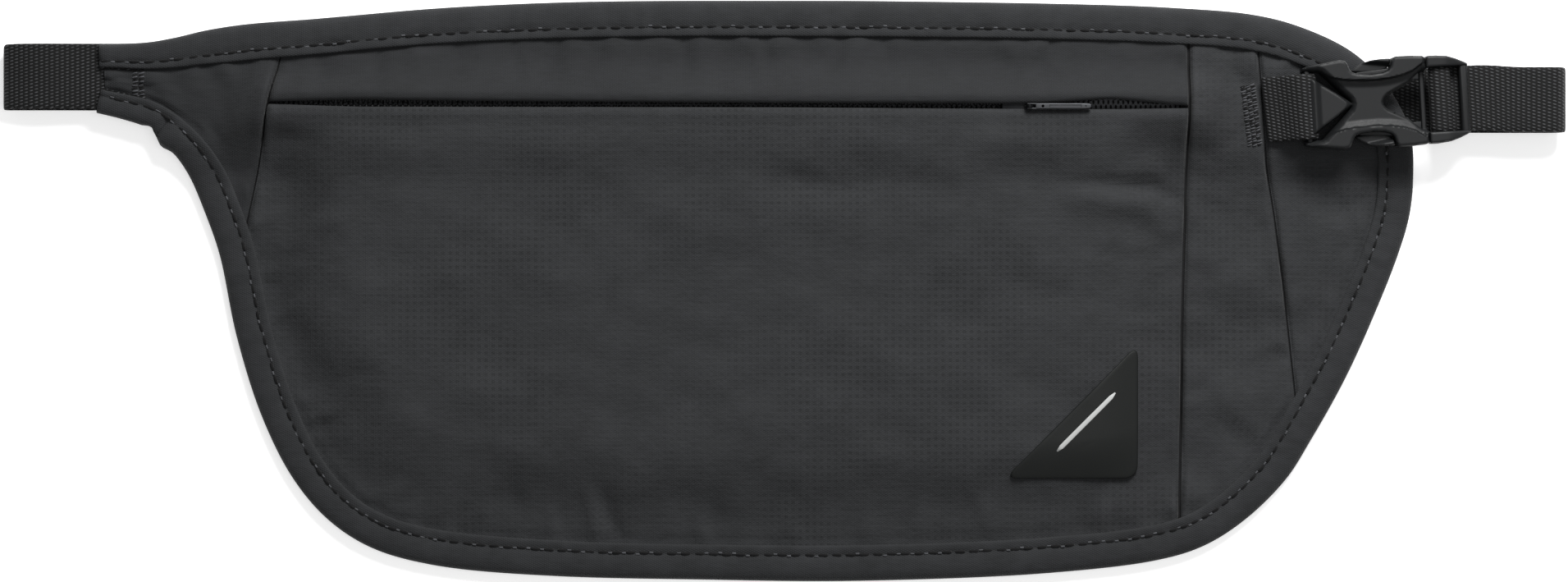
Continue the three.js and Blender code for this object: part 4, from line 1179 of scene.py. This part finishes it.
def disc(radius, half):
    """A round cheek or cutter on the pull's pivot, standing across the zip."""
    ring = circle(*PULL_PIVOT, radius, 24)
    return solid([(x, slider_y - half, z) for x, z in ring], [(x, slider_y + half, z) for x, z in ring])


def on_slider(points):
    """An outline given from the zip's middle line, at the slider."""
    return [(x, slider_y + y) for x, y in points]


def in_zip(obj, name, look_of, node):
    """Finishes a piece that rides on the body of the same name as its node."""
    obj.name = obj.data.name = name
    finish_piece(obj, look_of, node, (node,), 35)


# the slider: two plates on a thin neck, and the stem and eye that carry the pull
SLIDER_HALF = [(50.3, -2.1), (51.2, -2.7), (54.0, -2.75), (56.6, -2.3), (57.7, -1.5)]
plate_outline = rounded(on_slider(SLIDER_HALF + flip(SLIDER_HALF[::-1], -1)), 1)
slider_parts = [
    plate(plate_outline, 7.95, 8.4, 0.16),
    plate(plate_outline, 5.8, 6.4, 0.2),
    plate(on_slider(rectangle(55.4, 57.4, -0.11, 0.11)), 6.3, 8.1, 0.02, 1),
    plate(on_slider(rectangle(55.5, 57.4, -0.24, 0.24)), 8.3, 10.0, 0.05, 2),
    combine(disc(0.92, 0.24), [disc(0.42, 1)]),
]
in_zip(merge_objects(slider_parts), "zip_slider_body", SLIDER, "zip_slider")

# the pull: a slim cast bar, forked round the slider's eye, with a shallow recess along its face
PULL_HALF = [(57.9, -0.6), (58.6, -0.66), (70.2, -0.66), (70.8, -0.3)]
pull_bar = plate(rounded(on_slider(PULL_HALF + flip(PULL_HALF[::-1], -1)), 1), 10.05, 11.15, 0.22)
groove = frustum(on_slider(rectangle(61.2, 68.4, -0.26, 0.26)), on_slider(rectangle(61.0, 68.6, -0.36, 0.36)),
                 10.95, 11.3)
eye, dot = circle(59.6, slider_y, 0.34, 16), circle(69.5, slider_y, 0.22, 12)
pull_bar = combine(pull_bar, [groove, frustum(eye, eye, 9, 12), frustum(dot, dot, 10.8, 12)])
cheeks = [plate(on_slider(rectangle(56.0, 58.3, *sorted((k * 0.4, k * 0.66)))), 10.1, 11.1, 0.1, 2)
          for k in (1, -1)]
pin_path = np.array([(PULL_PIVOT[0], slider_y + v, PULL_PIVOT[1]) for v in (-0.62, -0.2, 0.2, 0.62)])
pin = new_object("pin", *tube(pin_path, 0.33, 12))
in_zip(merge_objects([pull_bar, *cheeks, pin]), "zip_pull_tab", PULL, "zip_pull")

# ---------------------------------------------------------------- badge: a blank moulded patch
BADGE_CORNERS = np.array([(50.9, -43.4), (81.9, -43.4), (81.9, -12.2)])
BADGE_CENTRE, BADGE_INRADIUS, BADGE_SOFT = np.array([72.8, -34.3]), 9.1, 3.4
BADGE_POINTS = 120                      # round each ring
BADGE_RINGS = [  # inset from the edge, height; from the middle of the underside to the middle of the top
    (8.8, -0.2), (0.0, -0.2), (0.0, 0.1), (0.03, 0.3), (0.12, 0.44), (0.3, 0.5), (0.9, 0.5), (1.6, 0.5),
    (2.4, 0.5), (3.4, 0.5), (4.6, 0.5), (6.0, 0.5), (7.6, 0.5), (8.8, 0.5),
]


def badge_outline(inset):
    """The rounded triangle, moved in from its edges."""
    size = 1 - inset / BADGE_INRADIUS
    p = BADGE_CENTRE + (BADGE_CORNERS - BADGE_CENTRE) * size
    out = []
    for i in range(3):
        here = p[i]
        a, b = (here + (end - here) / np.linalg.norm(end - here) * (BADGE_SOFT * size)
                for end in (p[i - 1], p[(i + 1) % 3]))
        for t in np.linspace(0, 1, 9):
            out.append((1 - t) ** 2 * a + 2 * t * (1 - t) * here + t * t * b)
    return resample(np.vstack([out, out[:1]]), at=np.linspace(0, 1, BADGE_POINTS + 1))[:-1]


def badge_base(x, y):
    """The patch is stiffer than the cloth, so it bridges its small wrinkles."""
    return cloth_level(x, y) + 0.3


points = []
for inset, height in BADGE_RINGS:
    xy = badge_outline(inset)
    points.append(np.column_stack([xy, badge_base(xy[:, 0], xy[:, 1]) + height]))
n, last = BADGE_POINTS, (len(points) - 1) * BADGE_POINTS
faces = [[r + i, r + (i + 1) % n, r + n + (i + 1) % n, r + n + i]
         for r in range(0, last, n) for i in range(n)]
faces += [list(range(n))[::-1], list(range(last, last + n))]
build("corner_patch", np.vstack(points), faces, BADGE, "pouch", ("corner_badge",), "badge_rubber", sharp=50)
stripe = resample(np.array([(63.0, -37.0), (76.5, -23.5)], float), at=np.linspace(0, 1, 14))
stripe = np.column_stack([stripe, badge_base(stripe[:, 0], stripe[:, 1]) + 0.52])
past_middle = (np.abs(np.linspace(-1, 1, 14)) * 7.5 - 6.5).clip(0)
ends = np.clip(np.sqrt(np.clip(1 - past_middle ** 2, 0.1, 1)), 0.3, 1)
build("patch_stripe", *tube(stripe, 0.55 * ends, 10, flat=0.2), STRIPE, "pouch", slot="badge_rubber")


# ---------------------------------------------------------------- back, lining and screening layer
STRAP_END_X, STRAP_END_Y = -158.6, (41.3, 57)  # the straight edge on which the strap is sewn


def layer(name, node, inset, base, thick, look_of, slot, step, shape=None, between=False):
    """A level layer over the outline, row by row, or only over the pocket between its two seams."""
    edge = OUTLINE + OUTLINE_IN * inset
    ys = np.concatenate([np.linspace(edge[:, 1].min() + 0.3, -58, 8)[:-1], np.arange(-58, 57, step),
                         np.linspace(57, edge[:, 1].max() - 0.3, 8)])
    rows = []
    for y in ys:
        hit = np.where((edge[:-1, 1] - y) * (edge[1:, 1] - y) <= 0)[0]
        xs = edge[hit, 0]
        lo, hi = xs.min(), xs.max()
        if STRAP_END_Y[0] < y < STRAP_END_Y[1] - inset:
            lo = STRAP_END_X
        if between:
            lo, hi = max(lo, look(SEAM_LEFT, y) + 0.4), min(hi, look(SEAM_RIGHT, y) - 0.4)
        rows.append(np.stack([np.linspace(lo, hi, 150), np.full(150, y)], 1))
    xy = np.stack(rows, 1)
    x, y = xy[..., 0], xy[..., 1]
    z = lift(y) + base + thick + (shape(x, y) if shape else 0)
    points, faces = shell(xy, z, thick)
    build(name, points, faces, look_of, "pouch", (node,), slot)


def lens_fill(x, y):
    """The lining is sewn to the zip's tapes, so it comes up where the zip stands open."""
    off = y - zip_y(x)
    return 1.0 * smooth((x - 68) / 5) * smooth((93 - x) / 3) * smooth(1 - (np.abs(off - 0.55) - 1.1) / 2.2)


layer("mesh_back", "back_mesh_panel", 0.6, 0.6, 0.9, SPACER, "spacer_mesh", 2.5)
layer("screening_layer", "rfid_blocking_layer", 0.9, 1.6, 0.15, FOIL, "screening_foil", 4.0, between=True)
layer("inner_lining", "pocket_lining", 0.9, 1.85, 0.15, LINING, "lining_mesh", 1.2, lens_fill, between=True)


def seam_allowance(name, table, foot, head):
    """The turned-in edges of two panels, which fill the ditch of a seam from below; their near-black colour
    is painted shade in the ditch.
    """
    y = np.arange(foot[1], head[1], 1.2)
    across = np.linspace(-1.7, 1.7, 7)
    xy = np.stack([look(table, y)[:, None] + across[None], np.broadcast_to(y[:, None], (len(y), 7))], 2)
    x, yy = xy[..., 0], xy[..., 1]
    z = np.maximum(cloth_level(x, yy) - 1.75, lift(yy) + 2.2)
    points, faces = shell(xy[:, ::-1], z[:, ::-1], 0.15)
    build(name, points, faces, SEAM_SHADE, "pouch", slot="ripstop_fabric")


seam_allowance("seam_allowance_strap_side", SEAM_LEFT, left_foot, left_head)
seam_allowance("seam_allowance_pocket", SEAM_RIGHT, right_foot, right_head)
seam_allowance("seam_allowance_tab", SEAM_TAB, tab_foot, tab_head)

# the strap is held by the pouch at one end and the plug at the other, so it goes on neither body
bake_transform(waist)

# ---------------------------------------------------------------- stage, light and camera
floor = new_object("floor", [(u, v, 0) for u, v in rectangle(-3000, 3000, -3000, 3000)], [(0, 1, 2, 3)])
floor.location.z = -0.2 * MM
pale = Look("pale_floor", 0.9, Emission_Color=(1, 1, 1, 1), Emission_Strength=0.5)
pale.paint(pale.colour(pale.noise(pale.coords(), 400, 2), (0.86, 0.86, 0.86), (0.9, 0.9, 0.9)))
floor.data.materials.append(pale.material)

world = bpy.data.worlds.new("studio")
bpy.context.scene.world = world
world.use_nodes = True
background = world.node_tree.nodes["Background"].inputs
background["Color"].default_value = (1, 1, 1, 1)
background["Strength"].default_value = 0.3


def softbox(name, at, target, size, power):
    data = bpy.data.lights.new(name, "AREA")
    data.shape, data.size, data.energy = "DISK", size, power
    lamp = link(name, data)
    lamp.location = at
    lamp.rotation_euler = (Vector(target) - Vector(at)).to_track_quat("-Z", "Y").to_euler()


softbox("key", (0.2, 0.54, 0.5), (0.03, 0, 0), 0.34, 10.5)
softbox("fill", (0.2, -0.1, 1.1), (0, 0, 0), 0.7, 2.6)
bpy.context.scene.view_settings.view_transform = "Standard"

camera_data = bpy.data.cameras.new("camera")
camera_data.lens, camera_data.sensor_width = 110.0, 36.0
camera = link("camera", camera_data)
FRAME_WIDTH, FOCUS_Z = 1911 / 5.27, 6.0  # what the frame spans at the height of the face
camera.location = (0.0, 0.0, (FRAME_WIDTH * camera_data.lens / camera_data.sensor_width + FOCUS_Z) * MM)
camera_data.clip_start, camera_data.clip_end = 0.01, 20
bpy.context.scene.camera = camera
